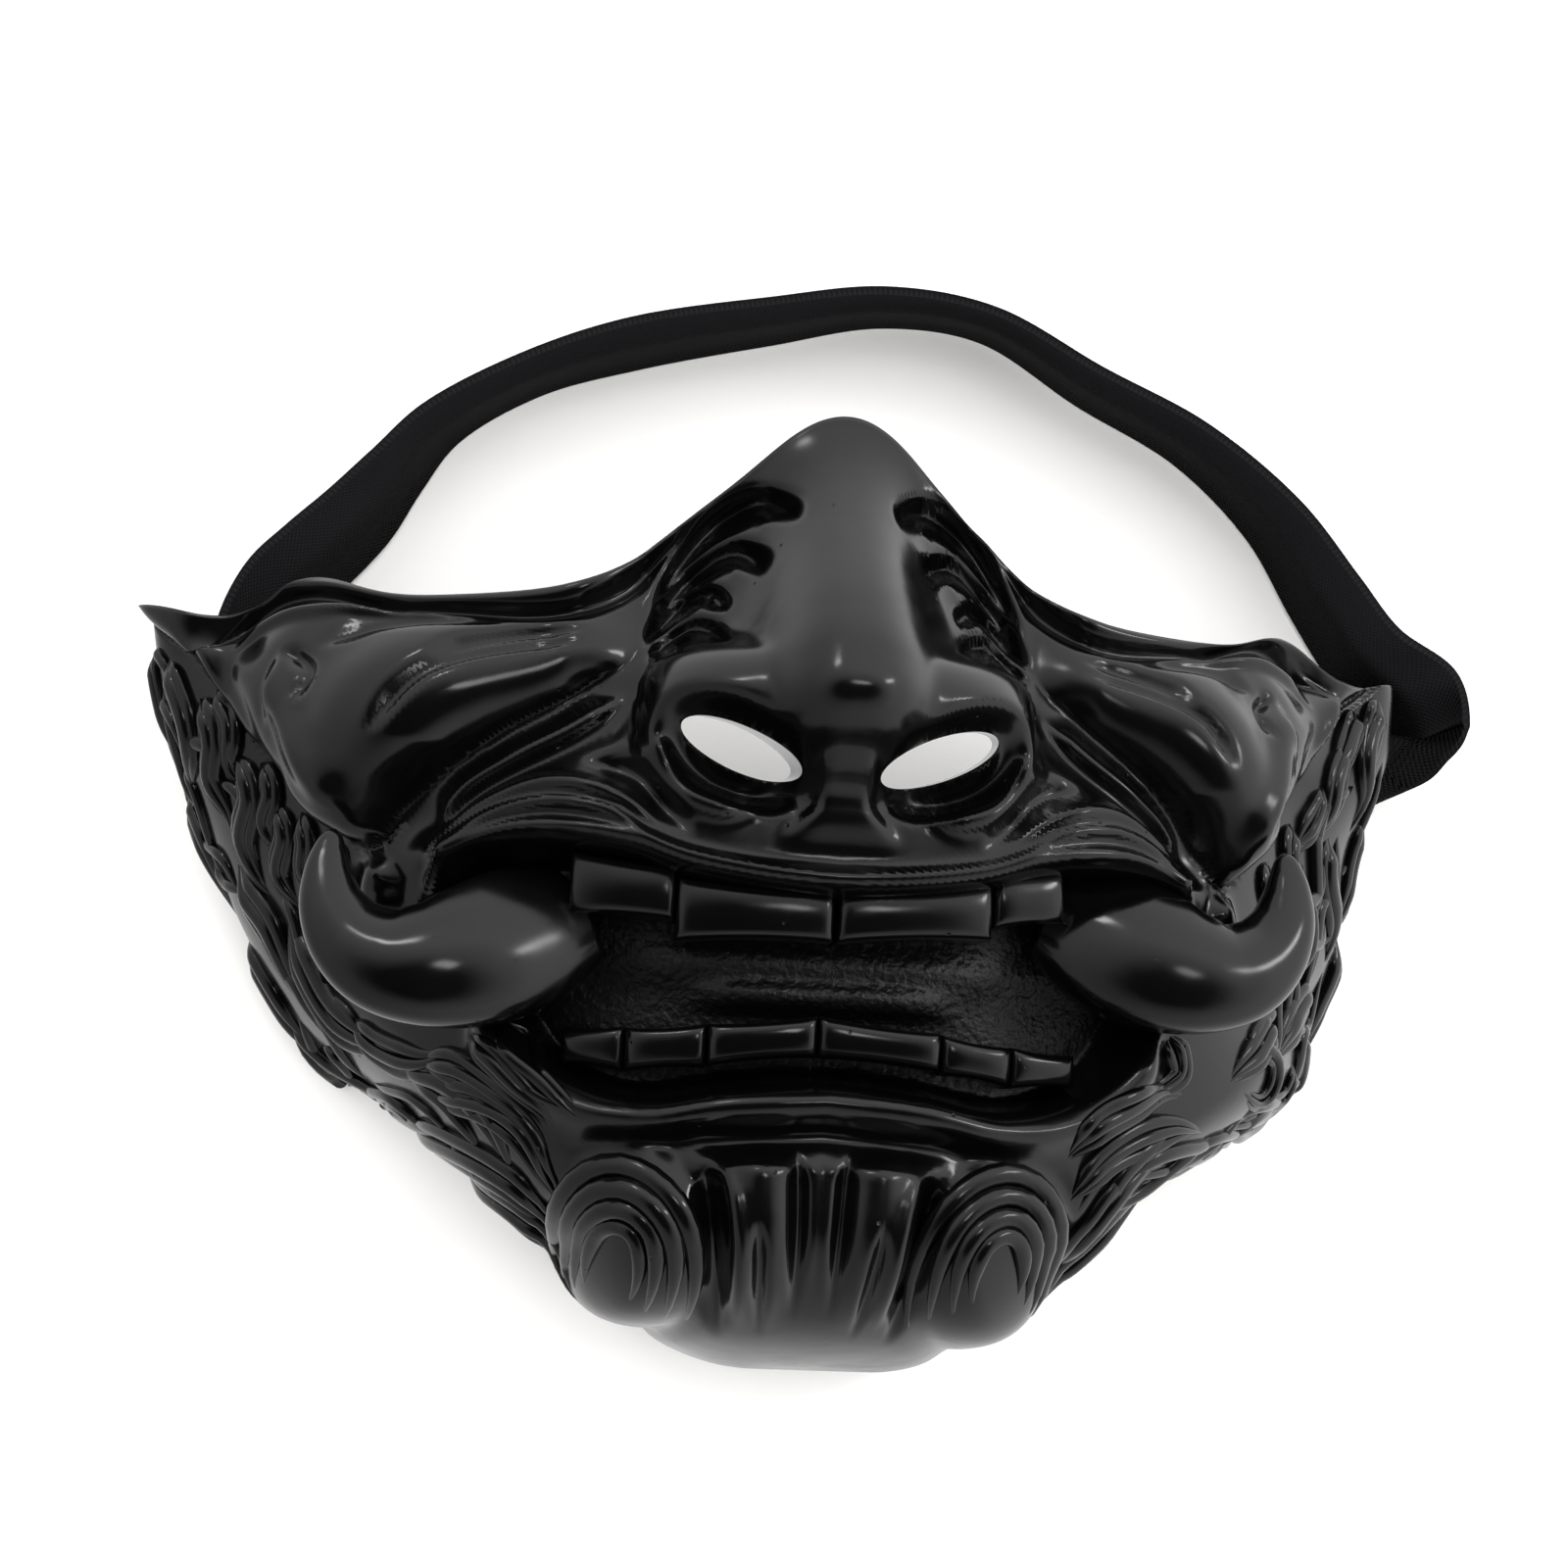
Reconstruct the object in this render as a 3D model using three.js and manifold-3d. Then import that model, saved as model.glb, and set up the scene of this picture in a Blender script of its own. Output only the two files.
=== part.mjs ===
// Demon-face half mask with a flat elastic strap, lying face up on its rim.
// Millimetres. +X is to the wearer's left, +Y runs from the chin to the nose, +Z is the way the face looks.
// The rim lies in the plane z = 0.

import * as THREE from 'three';
import { mergeVertices } from 'three/addons/utils/BufferGeometryUtils.js';
import Module from 'manifold-3d';

const wasm = await Module();
wasm.setup();

// ---------- driving dimensions ----------

const earHalfWidth = 107;    // middle of the face to an ear corner
const jawHalfWidth = 80;     // middle of the face to the jaw's corner
const noseTop = 65;          // height of the nose's peak above the middle of the face
const cheekTop = 37;         // height of the cheeks' upper edge
const chinBottom = -77;
const jawBottom = -31;
const bowlDepth = 76;        // rim to the front of the lips' ground, without relief
const earLift = 24;          // the ear corners curl up off the rim's plane
const wall = 3;
const fitGap = 0.35;         // clearance round each piece let into the shell
const cellsAcross = 72;      // of the front skin; the smoother back skin has half as many each way
const cellsDown = 46;

const strapWidth = 25;
const strapThick = 1.5;
const strapSteps = 84;

const resin = { color: 0x0d0e0f, roughness: 0.2, metalness: 0 };
const elastic = { color: 0x0a0a0b, roughness: 0.9, metalness: 0 };

// ---------- small maths ----------

const clamp = (x) => Math.min(1, Math.max(0, x));
const bell = (x, width, power = 2) => Math.exp(-(Math.abs(x / width) ** power));
const softMax = (a, b, blend) => 0.5 * (a + b + Math.hypot(a - b, blend));

function ease(from, to, x) {
  const t = clamp((x - from) / (to - from));
  return t * t * (3 - 2 * t);
}

function mound(s, y, { at, radii, rise, power = 1 }) {
  const far = ((s - at[0]) / radii[0]) ** 2 + ((y - at[1]) / radii[1]) ** 2;
  return rise * Math.exp(-(far ** power));
}

const drawn = (path, closed = false) => new THREE.CatmullRomCurve3(
  path.map(([s, y]) => new THREE.Vector3(s, y, 0)), closed, 'catmullrom', 0.5,
).getPoints(path.length * 4).map((p) => [p.x, p.y]);

// Distance to a drawn line, positive on its left, and the share of the line at the nearest point.
function awayFrom(line, s, y) {
  let best = { gap: Infinity, share: 0 };
  for (let i = 0; i + 1 < line.length; i++) {
    const [ax, ay] = line[i];
    const [dx, dy] = [line[i + 1][0] - ax, line[i + 1][1] - ay];
    const t = clamp(((s - ax) * dx + (y - ay) * dy) / Math.max(dx * dx + dy * dy, 1e-9));
    const [gx, gy] = [s - ax - t * dx, y - ay - t * dy];
    const gap = Math.hypot(gx, gy);
    if (gap < Math.abs(best.gap)) {
      best = { gap: dx * gy - dy * gx > 0 ? gap : -gap, share: (i + t) / (line.length - 1) };
    }
  }
  return best;
}

function isWithin(outline, s, y) {
  let within = false;
  outline.forEach(([ax, ay], i) => {
    const [bx, by] = outline[(i + 1) % outline.length];
    if ((ay > y) !== (by > y) && s < ((bx - ax) * (y - ay)) / (by - ay) + ax) within = !within;
  });
  return within;
}

const depthInside = (outline, s, y) => {
  const gap = Math.abs(awayFrom([...outline, outline[0]], s, y).gap);
  return isWithin(outline, s, y) ? gap : -gap;
};

// ---------- the bowl: the face without its features ----------

function topEdge(x) {
  const a = Math.abs(x);
  return cheekTop + (noseTop - cheekTop) * bell(a, 23) + 2.5 * bell(a - 24, 9)
    + 4 * bell(a - 82, 13) + 3 * ease(94, 106, a);
}

const bottomEdge = (x) => chinBottom + (jawBottom - chinBottom) * ease(14, 84, Math.abs(x));

const sideEdge = (drop) => earHalfWidth - 5 * drop - (earHalfWidth - jawHalfWidth - 5) * drop ** 2;

function depthAt(drop) {
  const under = clamp((drop - 0.8) / 0.2);
  const deep = bowlDepth - 10 * (1 - ease(0, 0.28, drop)) - 6 * ease(0.45, 0.9, drop);
  return deep * Math.sqrt(1 - under * under);
}

const rimLift = (drop, u) => earLift * (1 - ease(0, 0.6, drop)) * ease(0.5, 1, Math.abs(u));

// u runs from ear to ear (-1 to 1) and drop from the upper edge (0) to the lower one (1).
function bowlAt(u, drop) {
  const turn = (u * Math.PI) / 2;
  const x = sideEdge(drop) * Math.sin(turn);
  const y = topEdge(x) * (1 - drop) + bottomEdge(x) * drop;
  const z = rimLift(drop, u) + depthAt(drop) * Math.abs(Math.cos(turn)) ** 0.95;
  return { point: new THREE.Vector3(x, y, z), s: sideEdge(drop) * turn };
}

function bowlNormal(u, drop) {
  const step = 0.004;
  const at = (a, b) => bowlAt(Math.min(1, Math.max(-1, a)), clamp(b)).point;
  const across = at(u + step, drop).sub(at(u - step, drop));
  const down = at(u, drop + step).sub(at(u, drop - step));
  return down.cross(across).normalize();
}

// Relief stands straight up in the middle of the face and square to the bowl at its sides and chin.
function reliefDirection(u, drop, s, y) {
  const side = Math.max(ease(25, 60, Math.abs(s)), ease(-52, -66, y));
  const way = new THREE.Vector3(0, 0, 1).lerp(bowlNormal(u, drop), side);
  if (Math.abs(u) === 1 || drop === 1) way.z = 0;
  return way.normalize();
}

// The place that lies s across and y up the face, out millimetres above the bowl.
function onFace(s, y, out) {
  let drop = 0.5;
  let u = 0;
  for (let i = 0; i < 12; i++) {
    u = (s / sideEdge(drop)) * (2 / Math.PI);
    const x = sideEdge(drop) * Math.sin((u * Math.PI) / 2);
    drop = (topEdge(x) - y) / (topEdge(x) - bottomEdge(x));
  }
  return bowlAt(u, drop).point.addScaledVector(reliefDirection(u, drop, s, y), out);
}

// ---------- relief above the bowl ----------
// s is measured along the face from its middle; each form has its mirror twin.

// Down the nose: its rise above the bowl and its half width.
const noseSections = [
  { y: 80, rise: 1, wide: 13 },
  { y: 66, rise: 2, wide: 12 },
  { y: 54, rise: 6, wide: 10.5 },
  { y: 42, rise: 11.5, wide: 11 },
  { y: 32, rise: 17, wide: 12.5 },
  { y: 24, rise: 21.5, wide: 14 },
  { y: 18, rise: 23, wide: 14.5 },
  { y: 12, rise: 16, wide: 12 },
  { y: 7, rise: 4, wide: 9 },
  { y: 0, rise: 1, wide: 7 },
];

const mounds = [
  { name: 'muzzle', at: [0, -6], radii: [62, 26], rise: 5, power: 1.6 },
  { name: 'lip corner', at: [40, 4], radii: [18, 9], rise: 2 },
  { name: 'chin', at: [0, -54], radii: [34, 17], rise: 4, power: 1.5 },
  { name: 'corner bulb', at: [64, -6], radii: [4.5, 4.5], rise: 2.5 },
];

const noseWing = { at: [19, 17.5], radii: [8.8, 8], rise: 15.5, power: 1.3 };
const cheekBulge = { at: [64, 20], radii: [20, 11], rise: 3.2 };
const cheekHollow = { at: [98, 22], radii: [16, 9], rise: -4 };

const cheekOutline = drawn([
  [28.5, 25.4], [39, 20.8], [47.6, 15.8], [55, 10.5], [60.5, 4.5], [65, 0], [70, -1.2], [77, 0.6],
  [84, 3.5], [93, 10], [102, 17.5], [112, 24.5], [128, 31], [152, 37], [175, 60], [100, 75],
  [40, 70], [29, 50], [27, 36],
], true);

const mouthHalf = [
  [0, -6], [10, -5.2], [23.5, -2.2], [33, 1.8], [41, 2.6], [49, 0.3], [55.5, -4], [58, -9],
  [53, -18], [46, -26], [38, -32.5], [26, -35.6], [13, -33.8],
];
const mouthOutline = drawn([
  ...mouthHalf, [0, -32.6], ...mouthHalf.slice(1).reverse().map(([s, y]) => [-s, y]),
], true);

// Ridges and grooves: half widths to the left and right of a path, and how much of each end fades.
const folds = [
  { name: 'rim roll', rise: 2, left: 3, right: 3, fade: [0.1, 0.2],
    path: [[150, 35], [110, 36], [92, 38.5], [75, 36.5], [58, 34.5], [40, 36], [30, 42], [22, 52]] },
  { name: 'under rim', rise: -2.2, left: 2, right: 2, fade: [0.15, 0.15],
    path: [[84, 35.5], [74, 33.4], [62, 31.2], [50, 31.4], [40, 32.6], [33, 36.6], [26, 43.5]] },
  { name: 'bulge edge', rise: -2, left: 3, right: 2, fade: [0.15, 0.3],
    path: [[88.5, 14], [88.3, 20], [82, 24], [73, 28.8], [62, 30.6]] },
  { name: 'inner roll', rise: 1.5, left: 3, right: 2.5, fade: [0.3, 0.2],
    path: [[32, 26.5], [41, 22.8], [50, 17.6], [57.5, 12], [63, 6], [68, 1.8]] },
  { name: 'outer ridge', rise: 3, left: 2, right: 5, fade: [0.05, 0.15],
    path: [[152, 36.5], [128, 30.2], [112, 23.6], [102, 16.6], [93, 9.2], [84, 2.9], [76, 0.4]] },
  { name: 'smile line', rise: -3, left: 3.5, right: 3.5, fade: [0.2, 0.2],
    path: [[27, 24], [36, 15.5], [47, 9.5], [56, 3], [62, -5]] },
  { name: 'lip fold', rise: 2.4, left: 3, right: 2, fade: [0.12, 0.35],
    path: [[60.5, -3], [57.5, 1.8], [50, 6.3], [41, 8.9], [32, 8.8], [26, 6], [22, 3]] },
  { name: 'upper lip', rise: 2, left: 2.2, right: 2.2, fade: [0.12, 0],
    path: [[58.5, -8], [56.5, -3], [49, 2.2], [41, 4.6], [33, 3.6], [23.5, 0], [10, -3], [0, -3.8]] },
  { name: 'upper wrinkle', rise: -3.6, left: 2, right: 3, fade: [0.12, 0.3],
    path: [[7, 46.5], [8.6, 50.6], [13, 52.2], [18.5, 49], [23.5, 42.5], [28.5, 33]] },
  { name: 'middle wrinkle', rise: -3.4, left: 2, right: 3, fade: [0.12, 0.3],
    path: [[12, 38.5], [12.8, 42.6], [16.6, 44], [21.5, 40.8], [26, 34.5], [29.3, 28.5]] },
  { name: 'lower wrinkle', rise: -3.2, left: 2, right: 2.6, fade: [0.12, 0.25],
    path: [[16.4, 28.6], [18, 32], [21.3, 33.4], [25, 31], [28.6, 26.6]] },
  { name: 'columella', rise: 3, left: 4, right: 4, fade: [0, 0.4], path: [[0, 12], [0, 5]] },
];

const mouthFolds = [
  { name: 'lower lip', rise: 3.8, left: 2.6, right: 3.4, fade: [0, 0.15],
    path: [[0, -34.9], [13, -36], [26, -38.2], [37, -36], [45, -29.4], [50, -21]] },
  { name: 'under lip', rise: -2.2, left: 2.2, right: 2.6, fade: [0, 0.4],
    path: [[0, -39.8], [14, -41], [28, -42.5]] },
  { name: 'chin flute', rise: 3.4, left: 4.4, right: 4.4, fade: [0.15, 0.5],
    path: [[8.5, -42], [8, -50], [6.5, -62]] },
];

function fold(s, y, { line, rise, left, right, fade }) {
  const { gap, share } = awayFrom(line, s, y);
  const full = (fade[0] ? ease(0, fade[0], share) : 1) * (fade[1] ? ease(0, fade[1], 1 - share) : 1);
  const wide = (gap > 0 ? left : right) * (0.4 + 0.6 * full);
  return rise * full * bell(gap, wide);
}

for (const row of [...folds, ...mouthFolds]) row.line = drawn(row.path);

function noseRelief(s, y) {
  const below = noseSections.findIndex((row) => row.y <= y);
  const b = noseSections[below < 0 ? noseSections.length - 1 : below];
  const a = noseSections[Math.max(0, (below < 0 ? noseSections.length : below) - 1)];
  const t = a === b ? 0 : clamp((y - b.y) / (a.y - b.y));
  const rise = below < 0 ? 0 : THREE.MathUtils.lerp(b.rise, a.rise, t);
  return rise * bell(s, THREE.MathUtils.lerp(b.wide, a.wide, t), 2.8);
}

// The hair hangs in wavy locks that run along the side rim and then along the jaw.
const hairInner = drawn([
  [150, 36], [128, 27], [112, 17], [100, 7], [92, -3], [86, -14], [75, -26], [60, -31],
  [49, -36], [42, -44], [39, -54], [34, -64],
]);
const lock = { wide: 7.5, rise: 3, wave: 2.4, waveLength: 24 };

function hairRelief(s, y) {
  const { gap, share } = awayFrom(hairInner, s, y);
  if (gap < 0) return 0;
  const wander = lock.wave * Math.sin((share * 200 * 2 * Math.PI) / lock.waveLength);
  const ridge = 0.5 + 0.5 * Math.cos(((gap + wander) / lock.wide) * 2 * Math.PI);
  return lock.rise * (ridge ** 0.8 - 0.3) * ease(0, 4, gap);
}

const whorl = { at: [26.5, -54.5], radius: 13.5, rise: 4.5, arms: 2 };

function whorlRelief(s, y) {
  const [dx, dy] = [s - whorl.at[0], y - whorl.at[1]];
  const far = Math.hypot(dx, dy) + 0.6;
  const arm = 0.5 + 0.5 * Math.cos(whorl.arms * Math.atan2(dy, dx) + 9 * Math.log(far / whorl.radius));
  return ease(whorl.radius + 1, whorl.radius - 3, far) * (whorl.rise * (1 - far / 20) + 2 * arm - 1);
}

function relief(sFull, y) {
  const s = Math.abs(sFull);
  let out = mounds.reduce((sum, row) => sum + mound(s, y, row), 0);
  const nose = softMax(noseRelief(s, y), mound(s, y, noseWing), 1.5) - 0.6;
  out = softMax(out, nose, 2);

  const onCheek = depthInside(cheekOutline, s, y);
  if (onCheek > 0) {
    const inner = ease(0, 6, s - 22);
    const cheek = 8 * (1 - Math.exp(-onCheek / 3)) + mound(s, y, cheekBulge)
      + mound(s, y, cheekHollow) - 3 * ease(0, 12, y - topEdge(s) + 12);
    out = softMax(out, cheek * inner, 1);
  } else {
    out += hairRelief(s, y) * ease(-0.5, -3, onCheek) * ease(13, 15, Math.hypot(s - 26.5, y + 54.5));
  }
  for (const row of folds) out += fold(s, y, row);

  const sunk = ease(-1.5, 3.5, depthInside(mouthOutline, sFull, y));
  out = out * (1 - sunk) - 8.5 * sunk;
  for (const row of mouthFolds) out += fold(s, y, row);
  return out + whorlRelief(s, y);
}

// One cell's height is the mean over the cell, so that coarse cells don't fray a steep edge.
function cellRelief(s, y) {
  const half = 0.9;
  const spots = [[0, 0], [half, half], [half, -half], [-half, half], [-half, -half]];
  return spots.reduce((sum, [ds, dy]) => sum + relief(s + ds, y + dy), 0) / spots.length;
}

// ---------- solids ----------

function closedBody(positions, triangles) {
  const geometry = new THREE.BufferGeometry();
  geometry.setAttribute('position', new THREE.Float32BufferAttribute(positions, 3));
  geometry.setIndex(triangles);
  return geometry;
}

function toSolid(geometry) {
  const bare = geometry.clone();
  bare.deleteAttribute('normal');
  bare.deleteAttribute('uv');
  const merged = mergeVertices(bare, 1e-4);
  return new wasm.Manifold(new wasm.Mesh({
    numProp: 3,
    vertProperties: Float32Array.from(merged.attributes.position.array),
    triVerts: Uint32Array.from(merged.index.array),
  }));
}

function fromSolid(solid) {
  const { vertProperties, triVerts } = solid.getMesh();
  return closedBody(Array.from(vertProperties), Array.from(triVerts));
}

// A ring of points at each station, joined into a tube; both ends are closed with fans.
function skinnedTube(rings) {
  const sides = rings[0].length;
  const positions = rings.flat().flatMap((p) => [p.x, p.y, p.z]);
  const triangles = [];
  for (let r = 0; r + 1 < rings.length; r++) {
    for (let k = 0; k < sides; k++) {
      const [a, b] = [r * sides + k, r * sides + ((k + 1) % sides)];
      triangles.push(a, b, a + sides, b, b + sides, a + sides);
    }
  }
  const last = (rings.length - 1) * sides;
  for (let k = 1; k + 1 < sides; k++) {
    triangles.push(0, k + 1, k, last, last + k, last + k + 1);
  }
  return closedBody(positions, triangles);
}

// The shell: a front skin with the relief, a smoother back skin behind it, and a rim that joins them.
function shellBody() {
  const [nu, nv] = [cellsAcross, cellsDown];
  const grid = [];
  for (let j = 0; j <= nv; j++) {
    const v = j / nv;
    const drop = v < 0.7 ? (v / 0.7) * 0.8 : 0.8 + 0.2 * Math.sin(((v - 0.7) / 0.3) * (Math.PI / 2));
    grid.push([]);
    for (let i = 0; i <= nu; i++) {
      const t = (2 * i) / nu - 1;
      const u = t * (0.85 + 0.15 * t * t);
      const { point, s } = bowlAt(u, drop);
      grid[j].push({ point, way: reliefDirection(u, drop, s, point.y), out: cellRelief(s, point.y) });
    }
  }

  // The back skin follows the lowest relief around each of its points, a wall's thickness behind it.
  const around = (j, i, reach, key) => {
    const found = [];
    for (let b = Math.max(0, j - reach); b <= Math.min(nv, j + reach); b++) {
      for (let a = Math.max(0, i - reach); a <= Math.min(nu, i + reach); a++) found.push(grid[b][a][key]);
    }
    return found;
  };
  grid.forEach((row, j) => row.forEach((cell, i) => {
    cell.lowest = Math.min(...around(j, i, 2, 'out')) - wall;
  }));
  grid.forEach((row, j) => row.forEach((cell, i) => {
    const near = around(j, i, 2, 'lowest');
    cell.back = near.reduce((a, b) => a + b) / near.length;
  }));

  const positions = [];
  const place = (cell, out) => {
    const p = cell.point.clone().addScaledVector(cell.way, out);
    positions.push(p.x, p.y, Math.max(p.z, 0));
  };
  grid.forEach((row) => row.forEach((cell) => place(cell, cell.out)));
  const isBackPoint = (j, i) => j % 2 === 0 && i % 2 === 0;
  grid.forEach((row, j) => row.forEach((cell, i) => {
    const onRim = j === 0 || j === nv || i === 0 || i === nu;
    if (isBackPoint(j, i)) place(cell, onRim ? Math.min(cell.back, cell.out - wall) : cell.back);
  }));

  const triangles = [];
  const front = (j, i) => j * (nu + 1) + i;
  const back = (j, i) => (nv + 1) * (nu + 1) + (j / 2) * (nu / 2 + 1) + i / 2;
  for (let j = 0; j < nv; j++) {
    for (let i = 0; i < nu; i++) {
      const [a, b, c, d] = [front(j, i), front(j + 1, i), front(j + 1, i + 1), front(j, i + 1)];
      triangles.push(a, b, c, a, c, d);
    }
  }
  for (let j = 0; j < nv; j += 2) {
    for (let i = 0; i < nu; i += 2) {
      const [a, b, c, d] = [back(j, i), back(j, i + 2), back(j + 2, i + 2), back(j + 2, i)];
      triangles.push(a, b, c, a, c, d);
    }
  }
  // Along the rim two edges of the front meet one of the back.
  const rim = (f0, f1, f2, b0, b2) => triangles.push(f0, b0, f1, f1, b0, b2, f1, b2, f2);
  for (let i = 0; i < nu; i += 2) {
    rim(front(0, i + 2), front(0, i + 1), front(0, i), back(0, i + 2), back(0, i));
    rim(front(nv, i), front(nv, i + 1), front(nv, i + 2), back(nv, i), back(nv, i + 2));
  }
  for (let j = 0; j < nv; j += 2) {
    rim(front(j, 0), front(j + 1, 0), front(j + 2, 0), back(j, 0), back(j + 2, 0));
    rim(front(j + 2, nu), front(j + 1, nu), front(j, nu), back(j + 2, nu), back(j, nu));
  }
  return closedBody(positions, triangles);
}

const nostril = { x: 13.8, y: 12.7, halfLong: 9, halfShort: 3.6, turn: 20 };

function nostrilCutter(side) {
  const turn = THREE.MathUtils.degToRad(side * nostril.turn);
  const outline = new THREE.Shape();
  outline.absellipse(side * nostril.x, nostril.y, nostril.halfLong, nostril.halfShort, 0, 2 * Math.PI, false, turn);
  const cutter = new THREE.ExtrudeGeometry(outline, { depth: 80, bevelEnabled: false, curveSegments: 12 });
  return cutter.translate(0, 0, 50);
}

// Teeth: where each one starts and ends across the face, its upper and lower edge and its front.
const upperTeeth = [
  { from: 0.3, to: 21, top: -7.6, bottom: -13.6, front: 2.6 },
  { from: 21, to: 32.5, top: -4.4, bottom: -11, front: 2 },
];
const lowerTeeth = [
  { from: 0.3, to: 15.5, top: -23.4, bottom: -29.6, front: 1.4 },
  { from: 15.5, to: 27, top: -24.6, bottom: -31, front: 1 },
  { from: 27, to: 39, top: -26.4, bottom: -32, front: 0 },
];
const toothRoot = -8.2;

// A row of teeth is one strip, with a notch between each two of them.
function toothStrip(rows, grow = 0) {
  const columns = [];
  for (const side of [-1, 1]) {
    for (const row of side < 0 ? [...rows].reverse() : rows) {
      const [a, b] = side < 0 ? [-row.to, -row.from] : [row.from, row.to];
      for (const share of [0.03, 0.12, 0.37, 0.63, 0.88, 0.97]) {
        const notch = share < 0.1 || share > 0.9 ? 1 : 0;
        columns.push({ ...row, s: a + (b - a) * share, notch });
      }
    }
  }
  columns[0].s -= grow;
  columns[columns.length - 1].s += grow;
  return skinnedTube(columns.map(({ s, top, bottom, front, notch }) => {
    const face = front - 1.6 * notch + grow;
    const [up, low] = [top - 0.7 * notch + grow, bottom + 0.7 * notch - grow];
    return [
      onFace(s, low, toothRoot - grow), onFace(s, up, toothRoot - grow),
      onFace(s, up, face - 1.4), onFace(s, up - 1, face), onFace(s, low + 1, face), onFace(s, low, face - 1.4),
    ];
  }));
}

// Tusk: from its root inside the mouth, out round the lip's corner and up to its tip.
const tuskRows = [
  { x: 36.5, y: -7.4, z: 66.5, wide: 7.4, thick: 6 },
  { x: 42, y: -10.2, z: 70.5, wide: 8.8, thick: 7 },
  { x: 47.5, y: -13.6, z: 73.2, wide: 9, thick: 7.6 },
  { x: 54.5, y: -17, z: 74, wide: 7.8, thick: 7.2 },
  { x: 61, y: -15.2, z: 72.5, wide: 6.2, thick: 6 },
  { x: 64.8, y: -9.8, z: 71, wide: 4.5, thick: 4.6 },
  { x: 66.4, y: -4.2, z: 70.2, wide: 2.7, thick: 2.8 },
  { x: 66.8, y: 0.6, z: 70, wide: 0.7, thick: 0.7 },
];
const tuskSides = 10;
const tuskSteps = 18;

function tuskBody(side, grow = 0) {
  const curveOf = (key) => new THREE.CatmullRomCurve3(tuskRows.map(key));
  const centre = curveOf((row) => new THREE.Vector3(side * row.x, row.y, row.z));
  const radii = curveOf((row) => new THREE.Vector3(row.wide, row.thick, 0));
  const rings = [];
  for (let k = 0; k <= tuskSteps; k++) {
    const t = k / tuskSteps;
    const [middle, size] = [centre.getPoint(t), radii.getPoint(t)];
    const along = centre.getTangent(t);
    const across = along.clone().cross(new THREE.Vector3(0, 0, 1)).normalize();
    const up = across.clone().cross(along);
    if (k === 0) middle.addScaledVector(along, -grow);
    const ring = [];
    for (let n = 0; n < tuskSides; n++) {
      const angle = (n / tuskSides) * 2 * Math.PI;
      ring.push(middle.clone()
        .addScaledVector(across, (size.x + grow) * Math.cos(angle))
        .addScaledVector(up, -(size.y + grow) * Math.sin(angle)));
    }
    rings.push(ring);
  }
  return skinnedTube(rings);
}

// Strap: its lower and upper edge, from the end glued inside the wearer's right ear corner,
// round the arc on the floor, to the end inside the left one.
const strapRoute = [
  { low: [-88.8, -5, 12], high: [-77.6, -5, 35] },
  { low: [-93.2, 5, 11.5], high: [-83.4, 5, 34.5] },
  { low: [-96.2, 15, 9.5], high: [-89, 15, 33] },
  { low: [-97.5, 26, 5], high: [-95.5, 27, 30] },
  { low: [-93, 37, 1.5], high: [-96.5, 38.5, 26.2] },
  { low: [-87, 45.5, 0.8], high: [-93, 48.5, 25] },
  { low: [-80.6, 52, 0.8], high: [-87.5, 55, 24.8] },
  { low: [-74.1, 60.5, 0.8], high: [-81, 61.5, 25] },
  { low: [-69.4, 69.9, 0.6], high: [-74.5, 68.5, 25.3] },
  { low: [-63.5, 79.4, 0.6], high: [-66.7, 76.9, 25.6] },
  { low: [-49.4, 89.4, 0.6], high: [-50.8, 87, 25.8] },
  { low: [-32.1, 95.7, 0.6], high: [-33.5, 94.5, 25.9] },
  { low: [-8, 102.3, 0.6], high: [-10, 100, 25.8] },
  { low: [12.5, 107.3, 0.6], high: [10.5, 103.6, 25.6] },
  { low: [30.9, 105.9, 0.6], high: [29, 101.5, 25.5] },
  { low: [49.6, 94.9, 0.6], high: [48, 92, 25.8] },
  { low: [68.3, 84.8, 0.6], high: [66.6, 83.2, 25.9] },
  { low: [82.1, 71.4, 0.6], high: [83, 70.6, 26] },
  { low: [90.5, 57, 0.6], high: [93.5, 58, 25.5] },
  { low: [96.8, 47, 0.6], high: [100.6, 49.4, 25.2] },
  { low: [103.5, 38.8, 0.6], high: [111, 42.7, 23.3] },
  { low: [109.8, 32.4, 0.8], high: [112.4, 33.6, 25.3] },
  { low: [102, 37, 0.8], high: [110.2, 28.2, 22.5] },
  { low: [90, 38, 1], high: [106.8, 24, 12] },
  { low: [81.8, 33.3, 1.4], high: [98, 19.4, 12.6] },
  { low: [84.6, 27.5, 2.6], high: [94.5, 17, 22] },
  { low: [90, 21.5, 6], high: [92, 14.5, 29] },
  { low: [93.2, 12, 10.5], high: [86, 10, 33.5] },
  { low: [93.2, 5, 11.5], high: [83.4, 5, 34.5] },
  { low: [88.8, -5, 12], high: [77.6, -5, 35] },
];

function strapBody() {
  const edge = (key) => new THREE.CatmullRomCurve3(strapRoute.map((row) => new THREE.Vector3(...row[key])));
  const [low, high] = [edge('low'), edge('high')];
  const rings = [];
  for (let k = 0; k <= strapSteps; k++) {
    const t = k / strapSteps;
    const across = high.getPoint(t).sub(low.getPoint(t)).normalize();
    const foot = low.getPoint(t);
    const along = low.getTangent(t).add(high.getTangent(t)).normalize();
    const out = along.clone().cross(across).normalize();
    rings.push([[0, -1], [1, -1], [1, 1], [0, 1]].map(([a, b]) => foot.clone()
      .addScaledVector(across, a * strapWidth)
      .addScaledVector(out, (b * strapThick) / 2)));
  }
  return skinnedTube(rings);
}

// ---------- assembly ----------

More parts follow.
